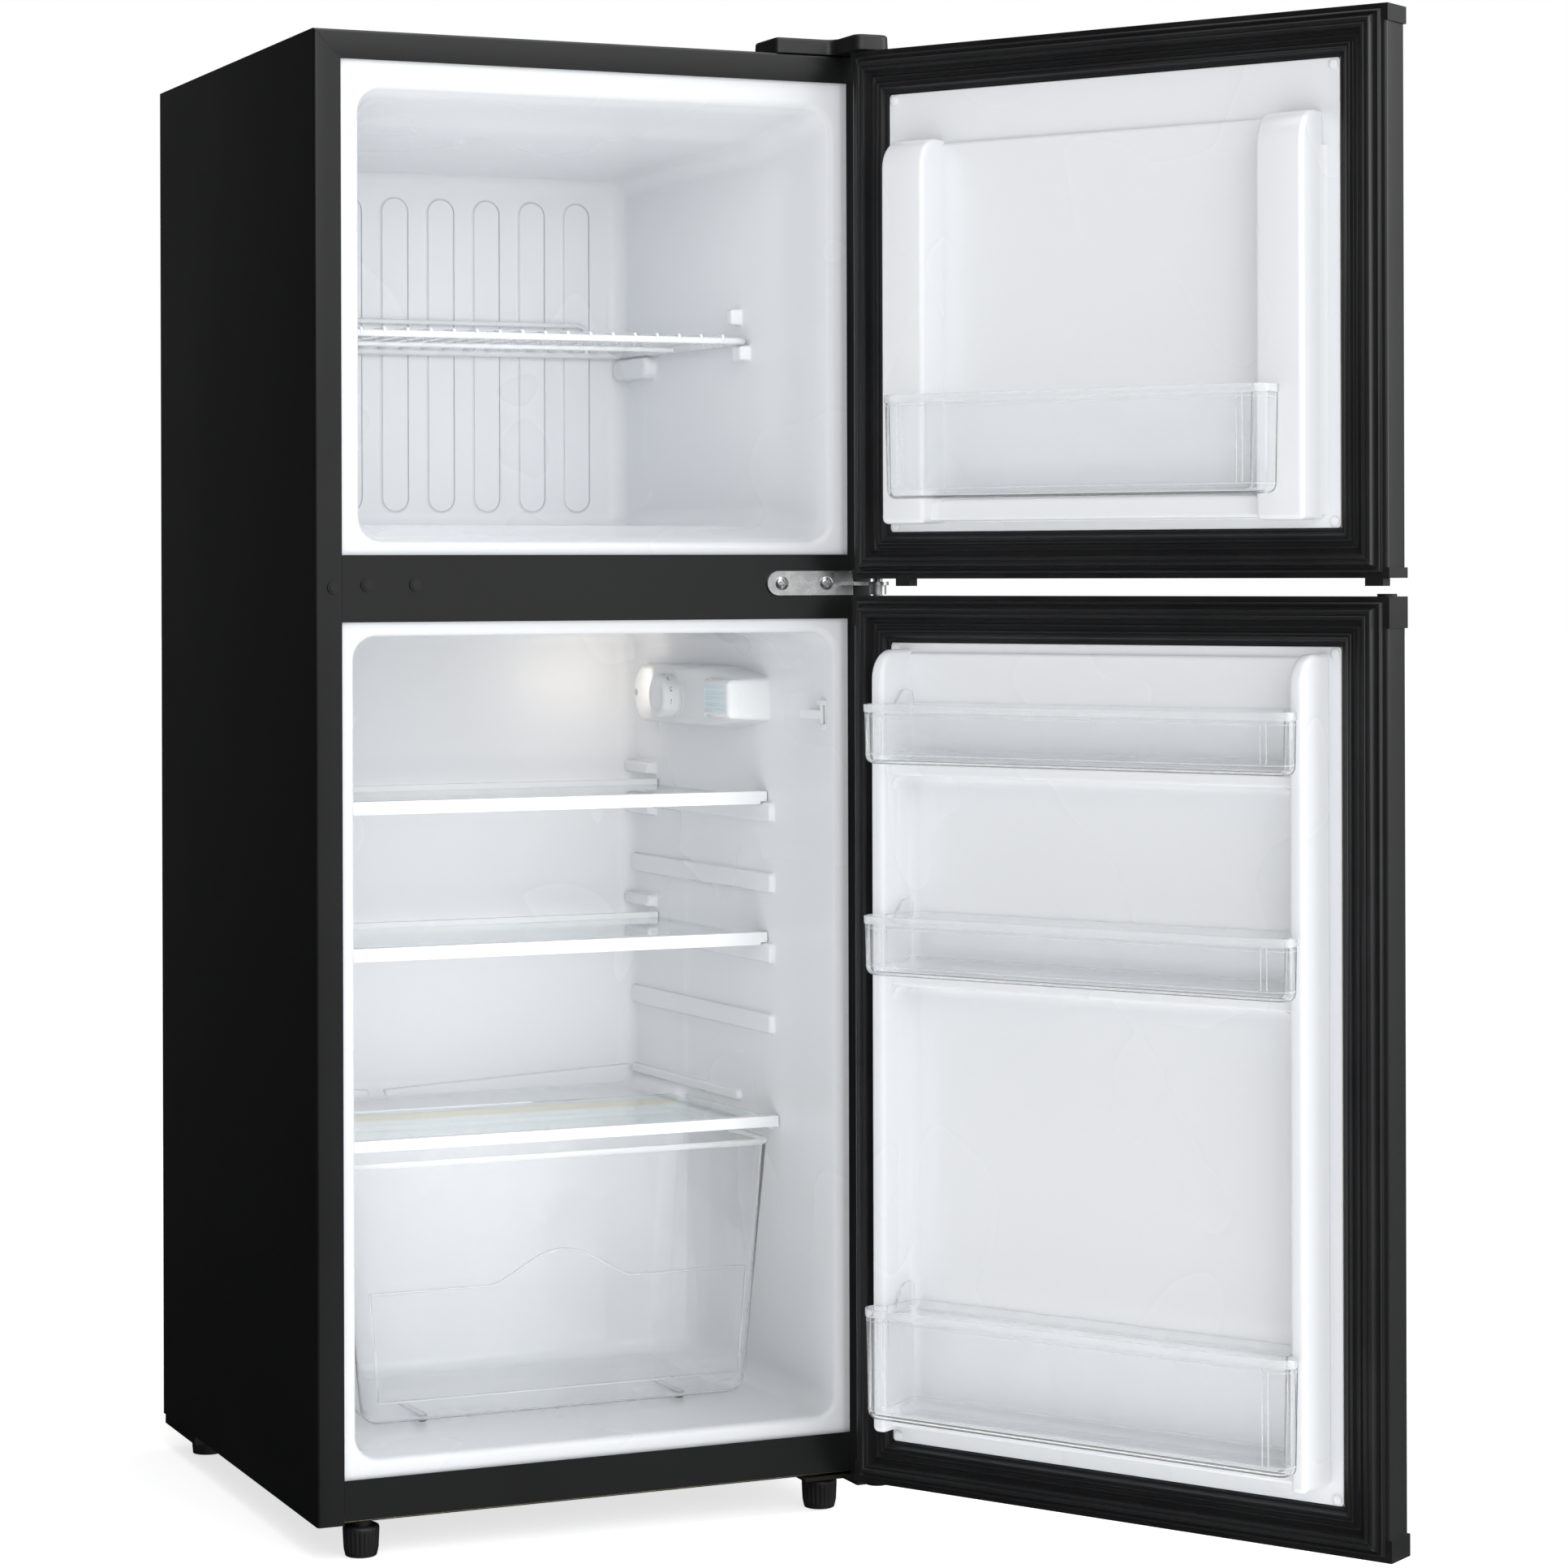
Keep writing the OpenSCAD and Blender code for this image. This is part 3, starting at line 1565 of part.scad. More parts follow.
module fridge_door_top_bin() {
    door_bin(top_bin_z, shallow_bin_h, fridge_dyke_half, fridge_dyke_w, fridge_dyke_y,
        fridge_bin_inset, fridge_reach, 11);
}

module fridge_door_middle_bin() {
    door_bin(middle_bin_z, shallow_bin_h, fridge_dyke_half, fridge_dyke_w, fridge_dyke_y,
        fridge_bin_inset, fridge_reach, 11);
}

module fridge_door_bottom_bin() {
    door_bin(deep_bin_z, deep_bin_h, fridge_dyke_half, fridge_dyke_w, fridge_dyke_y,
        fridge_bin_inset, fridge_reach, 16);
}

// ---------- nodes ----------

cabinet_shell();
back_panel();
base_pan();
cabinet_foam();
freezer_liner();
fridge_liner();
centre_rail();
bottom_rail();
hole_plugs();
top_hinge_leaf();
top_hinge_cover();
middle_hinge();
bottom_hinge();
hinge_screws();
thermostat_housing();
thermostat_body();
lamp_cover();
lamp_bulb();
light_switch_bezel();
compressor();
compressor_mounts();
relay_cover();
condenser_coil();
evaporator();
drip_tray();
drain_tube();
cord_gland();
rear_feet();
front_left_foot();
front_right_foot();
thermostat_dial();
light_switch_lever();
freezer_shelf();
upper_shelf_glass();
upper_shelf_front_trim();
upper_shelf_rear_rim();
lower_shelf_glass();
lower_shelf_front_trim();
lower_shelf_rear_rim();
crisper_cover_glass();
crisper_cover_trim();
crisper_drawer();
freezer_door_skin();
freezer_door_top_cap();
freezer_door_bottom_cap();
freezer_door_foam();
freezer_door_liner();
freezer_door_gasket();
freezer_door_bushes();
freezer_door_bin();
fridge_door_skin();
fridge_door_top_cap();
fridge_door_bottom_cap();
fridge_door_foam();
fridge_door_liner();
fridge_door_gasket();
fridge_door_bushes();
fridge_door_top_bin();
fridge_door_middle_bin();
fridge_door_bottom_bin();
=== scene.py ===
# %% [markdown]
# # A top freezer refrigerator, dressed for rendering
#
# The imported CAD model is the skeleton: every steel, plastic, glass and rubber part stands in its
# true place and hangs on its true joint. This lesson gives each of them a finish, and makes the
# soft-edged mouldings (liners, door linings, seals, bins, drawer, dial) again as smooth surfaces,
# because a vacuum-formed sheet has no sharp corner anywhere and a plain solid would show one.
#
# %% Load the frame
import json
import math
import bpy
import numpy as np
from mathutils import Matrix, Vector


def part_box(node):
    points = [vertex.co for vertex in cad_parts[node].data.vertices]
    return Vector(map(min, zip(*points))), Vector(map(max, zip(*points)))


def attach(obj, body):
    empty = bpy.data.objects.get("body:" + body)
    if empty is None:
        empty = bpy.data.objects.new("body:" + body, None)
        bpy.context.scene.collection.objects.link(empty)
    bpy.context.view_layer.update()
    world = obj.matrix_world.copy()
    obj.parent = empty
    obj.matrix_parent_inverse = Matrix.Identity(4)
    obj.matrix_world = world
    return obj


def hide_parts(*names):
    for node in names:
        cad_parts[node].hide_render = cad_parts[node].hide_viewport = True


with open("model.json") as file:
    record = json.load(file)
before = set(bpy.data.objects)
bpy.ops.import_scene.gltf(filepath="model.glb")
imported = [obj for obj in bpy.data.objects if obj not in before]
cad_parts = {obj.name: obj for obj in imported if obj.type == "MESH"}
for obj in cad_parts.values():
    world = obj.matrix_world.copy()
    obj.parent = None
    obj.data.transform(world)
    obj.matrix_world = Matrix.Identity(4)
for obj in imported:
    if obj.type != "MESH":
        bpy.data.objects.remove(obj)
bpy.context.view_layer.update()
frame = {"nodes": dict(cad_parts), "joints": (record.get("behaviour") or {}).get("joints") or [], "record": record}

# %% [markdown]
# ## Two rulers
#
# The shapes are drawn the way a fitter would measure them: in millimetres, x across from the middle,
# y back from the cabinet's front plane, z up from the lower edge of the steel wrapper. A piece could
# also be modelled at the origin and dragged into place, but then its place would live in the object
# and not in its mesh. So one function carries cabinet millimetres into the frame, and a second one
# draws a door closed and swings it about the hinge pins to the angle at which it rests.
#
# %% Millimetres on the cabinet, and on a door
shell_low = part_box("cabinet_shell")[0]
DATUM = np.array([0.0, shell_low.y, shell_low.z])
door_hinge = next(j for j in frame["joints"] if j["name"] == "fridge_door_hinge")
PIN = np.array(door_hinge["pos_m"][:2])
SWING = -math.radians(door_hinge["range_deg"][0])


def placed(points):
    """Cabinet millimetres to metres in the frame: divide by a thousand and add the datum corner."""
    return np.asarray(points, float) / 1000 + DATUM


def swung(points):
    """Millimetres on a closed door to metres on the open one: turn by the rest angle about the pin."""
    p = placed(points)
    x, y = p[..., 0] - PIN[0], p[..., 1] - PIN[1]
    c, s = math.cos(SWING), math.sin(SWING)
    return np.stack([c * x - s * y + PIN[0], s * x + c * y + PIN[1], p[..., 2]], -1)


print("doors rest", round(math.degrees(SWING), 1), "degrees open about", PIN.round(4))

# %% [markdown]
# ## Outlines and the surfaces between them
#
# Nearly everything here was pressed, drawn or moulded, so its form is a stack of outlines that
# shrink, grow or move from one level to the next. Boxes with a bevel modifier would do for one
# part, but their corners would not follow a draft. Instead an outline is a polygon with a radius at
# each corner, a level is that polygon moved inwards, and a skin joins the levels with quads.
#
# %% Rounded outlines
def rounded(corners, radii, steps=6):
    """Closed outline with an arc at each corner, tangent to both sides, its centre on the bisector."""
    p = np.asarray(corners, float)
    r = np.broadcast_to(np.asarray(radii, float), len(p))[:, None]
    before, after = np.roll(p, 1, 0) - p, np.roll(p, -1, 0) - p
    before /= np.linalg.norm(before, axis=1, keepdims=True)
    after /= np.linalg.norm(after, axis=1, keepdims=True)
    half = np.arccos(np.clip((before * after).sum(1, keepdims=True), -1, 1)) / 2
    bisector = before + after
    bisector /= np.linalg.norm(bisector, axis=1, keepdims=True)
    centre = p + bisector * r / np.sin(half)
    first, last = p + before * r / np.tan(half) - centre, p + after * r / np.tan(half) - centre
    start = np.arctan2(first[:, 1:], first[:, :1])
    turn = np.arctan2(last[:, 1:], last[:, :1]) - start
    turn = (turn + math.pi) % (2 * math.pi) - math.pi
    angle = start + turn * np.linspace(0, 1, steps + 1)
    arc = centre[:, None] + r[:, None] * np.stack([np.cos(angle), np.sin(angle)], -1)
    return arc.reshape(-1, 2)


def shrunk(corners, inset):
    """Polygon moved inwards (counter-clockwise corners): each corner slides along its mitre."""
    p = np.asarray(corners, float)
    side = np.roll(p, -1, 0) - p
    normal = np.stack([-side[:, 1], side[:, 0]], -1) / np.linalg.norm(side, axis=1, keepdims=True)
    other = np.roll(normal, 1, 0)
    mitre = (normal + other) / (1 + (normal * other).sum(1, keepdims=True))
    return p + mitre * inset


def bends(corners):
    """+1 at an outward corner of a counter-clockwise polygon and -1 at an inward one."""
    p = np.asarray(corners, float)
    a, b = p - np.roll(p, 1, 0), np.roll(p, -1, 0) - p
    return np.sign(a[:, 0] * b[:, 1] - a[:, 1] * b[:, 0])


def level(corners, radii, inset, steps=6):
    """Rounded outline moved inwards: outward corners lose that much radius, inward ones gain it."""
    r = np.broadcast_to(np.asarray(radii, float), len(corners)) - inset * bends(corners)
    return rounded(shrunk(corners, inset), np.maximum(r, 0.15), steps)


def box_corners(x0, x1, z0, z1):
    """The four corners of a rectangle, counter-clockwise."""
    return [(x0, z0), (x1, z0), (x1, z1), (x0, z1)]


# %% Skins between outlines
def quads(rings, columns, closed=True):
    """Faces between neighbouring rings of a grid: corner (i, j), (i, j+1), (i+1, j+1), (i+1, j)."""
    i, j = np.meshgrid(np.arange(rings - 1), np.arange(columns if closed else columns - 1), indexing="ij")
    k = (j + 1) % columns
    near, far = i * columns, (i + 1) * columns
    return np.stack([near + j, near + k, far + k, far + j], -1).reshape(-1, 4)


def outward(points, faces):
    """Turn the faces of a closed skin round if the volume they enclose comes out negative."""
    fan = np.concatenate([np.stack([[f[0]] * (len(f) - 2), f[1:-1], f[2:]], -1) for f in faces])
    a, b, c = (points[fan[:, k]] for k in range(3))
    volume = np.einsum("ij,ij->i", a - points[0], np.cross(b - points[0], c - points[0])).sum()
    return faces if volume > 0 else [f[::-1] for f in faces]


def skin(rings):
    """Closed skin through equal rings of points: quads along it and one face over each end."""
    rings = np.asarray(rings, float)
    count, columns = rings.shape[:2]
    points = rings.reshape(-1, 3)
    ends = [np.arange(columns)[::-1], np.arange((count - 1) * columns, count * columns)]
    return points, outward(points, list(quads(count, columns)) + ends)


def looped(rings):
    """Skin of a ring of rings, such as a tube bent into a loop: the last ring joins the first."""
    rings = np.asarray(rings, float)
    columns = rings.shape[1]
    faces = list(quads(len(rings) + 1, columns) % (len(rings) * columns))
    points = rings.reshape(-1, 3)
    return points, outward(points, faces)


def upright(x, y, h):
    """Lift of a plan: its heights run along z."""
    return np.stack([x, y, h], -1)


def stack(corners, radii, levels, lift, steps=6):
    """Skin through levels [(inset, height), ...] of one outline. lift(x, z, height) gives millimetres."""
    rings = []
    for inset, height in levels:
        outline = level(corners, radii, inset, steps)
        rings.append(lift(outline[:, 0], outline[:, 1], np.full(len(outline), float(height))))
    return skin(rings)


def quarter(steps):
    """Angles from 0 to a quarter turn, in equal steps."""
    return np.linspace(0, math.pi / 2, steps + 1)


def edge_arc(inset0, height0, r, steps=3):
    """Levels of a round-over: the inset grows by r while the height climbs its last r on a quarter circle."""
    a = quarter(steps)
    return [(inset0 + r * (1 - math.cos(t)), height0 + r * math.sin(t)) for t in a]


HAIR = 0.25     # a ring this far inside an edge keeps the flat beside it flat when shaded smoothly


def slab(corners, radii, low, high, soft, lift, steps=6):
    """Plate from low to high with both edges rounded by soft."""
    up = edge_arc(0, high - soft, soft)
    down = [(inset, low + high - height) for inset, height in up][::-1]
    levels = [(soft + HAIR, low)] + down + up + [(soft + HAIR, high)]
    return stack(corners, radii, levels, lift, steps)


def pad(corners, radii, base, top, foot, crown, draft, lift, steps=6):
    """Formed pad: sunk foot, concave fillet of radius foot, drafted wall, round crown, flat top."""
    a = quarter(4)
    fillet = [(-foot * (1 - math.sin(t)), base + foot * (1 - math.cos(t))) for t in a]
    wall = draft * (top - base - foot - crown)
    crest = edge_arc(wall, top - crown, crown, 4)
    levels = [(-foot, base - 1)] + fillet + crest + [(wall + crown + HAIR, top)]
    return stack(corners, radii, levels, lift, steps)


# %% Turned, bent and carried shapes
def turned(profile, centre, axis, count=48):
    """Lathe: profile (radius, height) carried round an axis; centre is the foot of that axis."""
    r, h = np.asarray(profile, float).T
    a = np.linspace(0, 2 * math.pi, count, endpoint=False)
    ring = np.stack([r[:, None] * np.cos(a), r[:, None] * np.sin(a), h[:, None] + 0 * a], -1)
    order = {"x": (2, 0, 1), "y": (0, 2, 1), "z": (0, 1, 2)}[axis]
    return skin(ring[..., order] + np.asarray(centre, float))


def tube(path, r, count=12, closed=False):
    """Round wire of radius r along a path. Each ring stands across the path's direction there; its
    first spoke is carried on from ring to ring with the least twist."""
    p = np.asarray(path, float)
    ahead = np.roll(p, -1, 0) - np.roll(p, 1, 0) if closed else np.gradient(p, axis=0)
    ahead /= np.linalg.norm(ahead, axis=1, keepdims=True)
    spoke = np.cross(ahead[0], [0.3, 0.5, 0.81])
    spokes = []
    for t in ahead:
        spoke = spoke - t * (spoke @ t)
        spoke = spoke / np.linalg.norm(spoke)
        spokes.append(spoke)
    u = np.array(spokes)
    v = np.cross(ahead, u)
    a = np.linspace(0, 2 * math.pi, count, endpoint=False)
    r = np.broadcast_to(np.asarray(r, float), len(p))[:, None, None]
    rings = p[:, None] + r * (np.cos(a)[:, None] * u[:, None] + np.sin(a)[:, None] * v[:, None])
    return looped(rings) if closed else skin(rings)


def bent(points, r, steps=5):
    """Path with its inner corners rounded by radius r, in space: the corner's two tangent points are
    joined by a curve that weighs the corner point like a quarter circle does."""
    p = np.asarray(points, float)
    out = [p[0]]
    for a, b, c in zip(p[:-2], p[1:-1], p[2:]):
        u, v = (a - b) / np.linalg.norm(a - b), (c - b) / np.linalg.norm(c - b)
        t = np.linspace(0, 1, steps + 1)[:, None]
        w = math.sqrt(0.5)
        s, e = b + u * r, b + v * r
        weight = (1 - t) ** 2 + 2 * w * t * (1 - t) + t ** 2
        out.extend(((1 - t) ** 2 * s + 2 * w * t * (1 - t) * b + t ** 2 * e) / weight)
    return np.array(out + [p[-1]])


def framed(profile, x0, x1, z0, z1, y):
    """Moulding mitred round a rectangle: profile (inset, height) runs along all four sides."""
    inset, rise = np.asarray(profile, float).T
    sx, sz = np.array([-1, 1, 1, -1]), np.array([-1, -1, 1, 1])
    cx, cz = np.array([x0, x1, x1, x0]), np.array([z0, z0, z1, z1])
    across, up = cx[:, None] - sx[:, None] * inset, cz[:, None] - sz[:, None] * inset
    return looped(np.stack([across, y + 0 * across + rise, up], -1))


def piece(name, parts, body, finish, stands_for=(), to_frame=placed, crease=38):
    """One object from several skins in millimetres: smooth, but sharp where faces meet above crease
    degrees. It rides on body, and stands_for names the CAD nodes that it takes the place of."""
    points, faces, start = [], [], 0
    for p, f in parts:
        points.append(to_frame(p))
        faces += [(np.asarray(face) + start).tolist() for face in f]
        start += len(p)
    assert np.isfinite(np.concatenate(points)).all(), name
    mesh = bpy.data.meshes.new(name)
    mesh.from_pydata(np.concatenate(points).tolist(), [], faces)
    mesh.validate()
    mesh.polygons.foreach_set("use_smooth", np.ones(len(mesh.polygons), bool))
    mesh.set_sharp_from_angle(angle=math.radians(crease))
    mesh.materials.append(FINISHES[finish])
    thing = bpy.data.objects.new(name, mesh)
    bpy.context.scene.collection.objects.link(thing)
    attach(thing, body)
    if stands_for:
        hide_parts(*stands_for)
    print(name, "has", len(mesh.vertices), "points, rides on", body)
    return thing


# %% [markdown]
# ## Shared surface effects
#
# Every finish on a refrigerator has the same three small faults: a skin that is not quite flat, a
# gloss that varies from cloud to cloud where it was wiped, and a little dust on whatever faces up.
# They could be painted as image maps, but a pattern worked out from the object's own coordinates
# has no seams and no edge. Each effect is a node group with named sockets, built once here and
# placed in every material with its own values.
#
# %% Three node groups
def group(name, inputs, outputs):
    """Empty node group with float inputs (name, default) and float outputs."""
    tree = bpy.data.node_groups.new(name, "ShaderNodeTree")
    for label, value in inputs:
        tree.interface.new_socket(label, in_out="INPUT", socket_type="NodeSocketFloat").default_value = value
    for label in outputs:
        tree.interface.new_socket(label, in_out="OUTPUT", socket_type="NodeSocketFloat")
    return tree, tree.nodes.new("NodeGroupInput"), tree.nodes.new("NodeGroupOutput")


def put(tree, kind, settings=(), **sockets):
    """Place a node: settings are its own properties, sockets are input values or links by name."""
    made = tree.nodes.new("ShaderNode" + kind)
    for key, value in dict(settings).items():
        setattr(made, key, value)
    for key, value in sockets.items():
        socket = made.inputs[int(key[1:]) if key[0] == "_" else key.replace("_", " ")]
        if isinstance(value, bpy.types.NodeSocket):
            tree.links.new(value, socket)
        else:
            socket.default_value = value
    return made


def sums(tree, operation, a, b=0.0):
    """A Math node's result."""
    return put(tree, "Math", {"operation": operation}, _0=a, _1=b).outputs[0]


def spread(tree, value, low, high, to_low=0.0, to_high=1.0):
    """Value carried from one range to another and held inside it."""
    ranges = {"From_Min": low, "From_Max": high, "To_Min": to_low, "To_Max": to_high}
    return put(tree, "MapRange", {}, Value=value, **ranges).outputs[0]


def mottle(tree, where, cells, detail, distortion=0.0):
    """Noise between 0 and 1 with so many cells per metre."""
    values = {"Scale": cells, "Detail": detail, "Distortion": distortion}
    return put(tree, "TexNoise", {}, Vector=where, **values).outputs[0]


grain, entry, leave = group("fine_skin", [("Cells per metre", 600.0), ("Pores", 0.3)], ["Height"])
where = put(grain, "TexCoord").outputs["Object"]
waves = mottle(grain, where, entry.outputs[0], 2.0)
pores = mottle(grain, where, sums(grain, "MULTIPLY", entry.outputs[0], 5.5), 1.0)
grain.links.new(sums(grain, "ADD", waves, sums(grain, "MULTIPLY", pores, entry.outputs[1])), leave.inputs[0])

wiped, entry, leave = group("wiped_clouds", [("Cells per metre", 9.0), ("Streaks", 0.0)], ["Mask"])
where = put(wiped, "TexCoord").outputs["Object"]
cloud = mottle(wiped, where, entry.outputs[0], 2.0, 0.2)
drawn = put(wiped, "Mapping", {}, Vector=where, Rotation=(0.2, 0.3, 0.5), Scale=(1.0, 1.0, 7.0)).outputs[0]
lines = mottle(wiped, drawn, sums(wiped, "MULTIPLY", entry.outputs[0], 4.0), 3.0)
share = sums(wiped, "MULTIPLY", sums(wiped, "SUBTRACT", lines, 0.5), entry.outputs[1])
mixed = sums(wiped, "ADD", cloud, share)
smooth = {"interpolation_type": "SMOOTHERSTEP"}
eased = put(wiped, "MapRange", smooth, Value=mixed, From_Min=0.22, From_Max=0.78)
wiped.links.new(eased.outputs[0], leave.inputs[0])

dusty, entry, leave = group("settled_dust", [("Amount", 0.2)], ["Mask"])
up = put(dusty, "SeparateXYZ", {}, Vector=put(dusty, "NewGeometry").outputs["Normal"]).outputs[2]
specks = mottle(dusty, put(dusty, "TexCoord").outputs["Object"], 420.0, 4.0)
film = sums(dusty, "MULTIPLY", spread(dusty, up, 0.6, 1.0), spread(dusty, specks, 0.42, 0.7))
dusty.links.new(sums(dusty, "MULTIPLY", film, entry.outputs[0]), leave.inputs[0])
print("node groups:", [g.name for g in bpy.data.node_groups])

# %% [markdown]
# ## One recipe for the plain finishes
#
# Coil-coated sheet, moulded plastic, rubber and foam differ in numbers, not in kind: a colour and
# its slightly different neighbour, a gloss and how far it wanders, the size and depth of the skin.
# A recipe with those numbers keeps them comparable, which helps when one looks too smooth beside
# another. Special finishes (clear plastic, glass, zinc) follow on their own.
#
# %% The recipe
FINISHES = {}


DUST = (0.42, 0.41, 0.39, 1)


def blend(tree, share, colour, second):
    """Colour carried to a second one by a mask."""
    return put(tree, "Mix", {"data_type": "RGBA"}, _0=share, _6=colour, _7=second).outputs[2]


def recipe(name, colour, second, roughness, swing, cells, depth, pores=0.3, clouds=9.0, dust=0.1,
           streaks=0.0, **constant):
    """Principled surface: two colours mixed by wiped clouds, roughness wandering by swing, a skin of
    cells per metre and depth (metres) as bump, dust on faces that look up. Returns material, shader."""
    material = bpy.data.materials.new(name)
    material.use_nodes = True
    tree = material.node_tree
    shader = tree.nodes["Principled BSDF"]
    mask = put(tree, "Group", {"node_tree": wiped}, Cells_per_metre=clouds, Streaks=streaks)
    dirt = put(tree, "Group", {"node_tree": dusty}, Amount=dust).outputs[0]
    skin_height = put(tree, "Group", {"node_tree": grain}, Cells_per_metre=cells, Pores=pores).outputs[0]
    tone = blend(tree, mask.outputs[0], (*colour, 1), (*second, 1))
    tree.links.new(blend(tree, dirt, tone, DUST), shader.inputs["Base Color"])
    gloss = spread(tree, mask.outputs[0], 0.0, 1.0, roughness - swing, roughness + swing)
    gloss = sums(tree, "ADD", gloss, sums(tree, "MULTIPLY", dirt, 0.4))
    tree.links.new(gloss, shader.inputs["Roughness"])
    if depth:
        bump = put(tree, "Bump", {}, Strength=1.0, Distance=depth, Height=skin_height)
        tree.links.new(bump.outputs[0], shader.inputs["Normal"])
    for key, value in constant.items():
        shader.inputs[key.replace("_", " ")].default_value = value
    FINISHES[name] = material
    return material, shader


# %% Paint, plastics, rubber and foam
recipe("cabinet_paint", (0.0065, 0.0067, 0.0073), (0.0080, 0.0082, 0.0088),
       0.31, 0.03, 700, 0.000012, 0.2, 5, 0.04)
recipe("door_paint", (0.0135, 0.0138, 0.0145), (0.0155, 0.0158, 0.0165),
       0.32, 0.03, 700, 0.000012, 0.2, 5, 0.04)
recipe("black_plastic", (0.0085, 0.0086, 0.009), (0.012, 0.012, 0.0125),
       0.40, 0.05, 1500, 0.00002, 0.5, 18, 0.08)
recipe("white_liner", (0.835, 0.852, 0.875), (0.835, 0.852, 0.875), 0.27, 0.015, 60, 0.000008, 0.05, 4, 0.0,
       Coat_Weight=0.2, Coat_Roughness=0.15)
recipe("white_trim", (0.83, 0.845, 0.86), (0.82, 0.836, 0.852), 0.3, 0.02, 700, 0.00001, 0.3, 12, 0.03)
recipe("lamp_cover", (0.86, 0.88, 0.89), (0.82, 0.84, 0.855), 0.26, 0.03, 500, 0.00001, 0.3, 14, 0.02,
       Subsurface_Weight=0.35, Subsurface_Scale=0.006)
recipe("white_wire", (0.80, 0.815, 0.83), (0.74, 0.755, 0.77), 0.3, 0.08, 1600, 0.00005, 0.4, 60, 0.05)
recipe("black_rubber", (0.0135, 0.0138, 0.0148), (0.0165, 0.0168, 0.0178),
       0.38, 0.03, 900, 0.000004, 0.3, 14, 0.02)
recipe("back_steel", (0.02, 0.021, 0.022), (0.028, 0.029, 0.03), 0.5, 0.1, 800, 0.00005, 0.4, 12, 0.2)
recipe("grey_plastic", (0.32, 0.325, 0.33), (0.27, 0.275, 0.28), 0.45, 0.08, 1200, 0.00004, 0.5, 40, 0.1)
recipe("bush_plastic", (0.66, 0.67, 0.68), (0.6, 0.61, 0.62), 0.4, 0.08, 1400, 0.00004, 0.5, 60, 0.05)
recipe("foam", (0.79, 0.70, 0.42), (0.68, 0.58, 0.32), 0.85, 0.08, 380, 0.0007, 0.7, 22, 0.1)
print("plain finishes:", sorted(FINISHES))

# %% [markdown]
# ## Metals
#
# Zinc plate is not one grey: it passivates in a fine mottle, a little drawn out in one direction.
# Aluminium and the copper-coloured tube get the same recipe with other numbers. A metal needs its
# colour and roughness to vary far more than paint does, because it has no diffuse colour to hide
# behind.
#
# %% Zinc, aluminium and copper
def metal(name, colour, second, roughness, swing, cells, clouds):
    """Metallic recipe whose clouds are half drawn out into streaks."""
    recipe(name, colour, second, roughness, swing, cells, 0.00002, 0.6, clouds, 0.08, 0.5, Metallic=1.0)


metal("zinc", (0.80, 0.80, 0.79), (0.68, 0.69, 0.70), 0.3, 0.08, 1400, 90)
metal("aluminium", (0.78, 0.785, 0.79), (0.68, 0.685, 0.69), 0.36, 0.08, 700, 25)
metal("copper", (0.70, 0.36, 0.21), (0.46, 0.22, 0.13), 0.34, 0.1, 900, 40)

# %% [markdown]
# ## Clear plastic, shelf glass and the bulb
#
# Clear parts are read by their edges: light runs inside the wall and comes out white at every rim.
# Real refraction through both faces of a thin wall gives part of that. The rims also wear a milkier
# copy of the clear plastic, whose white is painted edge glow. The drawback is that a path tracer sees
# almost no light through glass in the shadows, so the Light Path node lets shadow and bounce rays
# pass nearly straight through while the camera still sees true glass.
#
# %% Clear materials
def clear(name, colour, ior, roughness, solid, tint_share, cells=60.0, depth=0.00002):
    """Refracting wall for camera rays; alpha drops to 1 - tint_share for shadow and diffuse rays.
    solid is the share of milky body colour, a painted edge glow that makes moulded edges read white."""
    material = bpy.data.materials.new(name)
    material.use_nodes = True
    tree = material.node_tree
    shader = tree.nodes["Principled BSDF"]
    mask = put(tree, "Group", {"node_tree": wiped}, Cells_per_metre=14.0).outputs[0]
    tone = blend(tree, mask, (*colour, 1), (*[c * 0.985 for c in colour], 1))
    tree.links.new(tone, shader.inputs["Base Color"])
    tree.links.new(spread(tree, mask, 0.0, 1.0, roughness * 0.6, roughness * 1.6), shader.inputs["Roughness"])
    ray = put(tree, "LightPath").outputs
    passing = sums(tree, "MAXIMUM", ray["Is Shadow Ray"], ray["Is Diffuse Ray"])
    tree.links.new(spread(tree, passing, 0.0, 1.0, 1.0, tint_share), shader.inputs["Alpha"])
    ripple = put(tree, "Group", {"node_tree": grain}, Cells_per_metre=cells, Pores=0.1).outputs[0]
    bump = put(tree, "Bump", {}, Strength=1.0, Distance=depth, Height=ripple)
    tree.links.new(bump.outputs[0], shader.inputs["Normal"])
    shader.inputs["Transmission Weight"].default_value = 1 - solid
    shader.inputs["IOR"].default_value = ior
    FINISHES[name] = material
    return shader


clear("clear_plastic", (0.975, 0.985, 0.995), 1.40, 0.03, 0.05, 0.07, 30, 0.00001)
# Milkier copy of the clear plastic for rims: its white body colour is painted edge glow.
clear("clear_edge_glow", (0.95, 0.965, 0.98), 1.40, 0.10, 0.24, 0.2, 30, 0.00001)
clear("shelf_glass", (0.90, 0.955, 0.945), 1.45, 0.012, 0.0, 0.12, 12, 0.00002)
bulb = clear("bulb_glass", (0.98, 0.97, 0.94), 1.4, 0.12, 0.3, 0.1)
bulb.inputs["Emission Color"].default_value = (1.0, 0.80, 0.55, 1)
bulb.inputs["Emission Strength"].default_value = 6.0

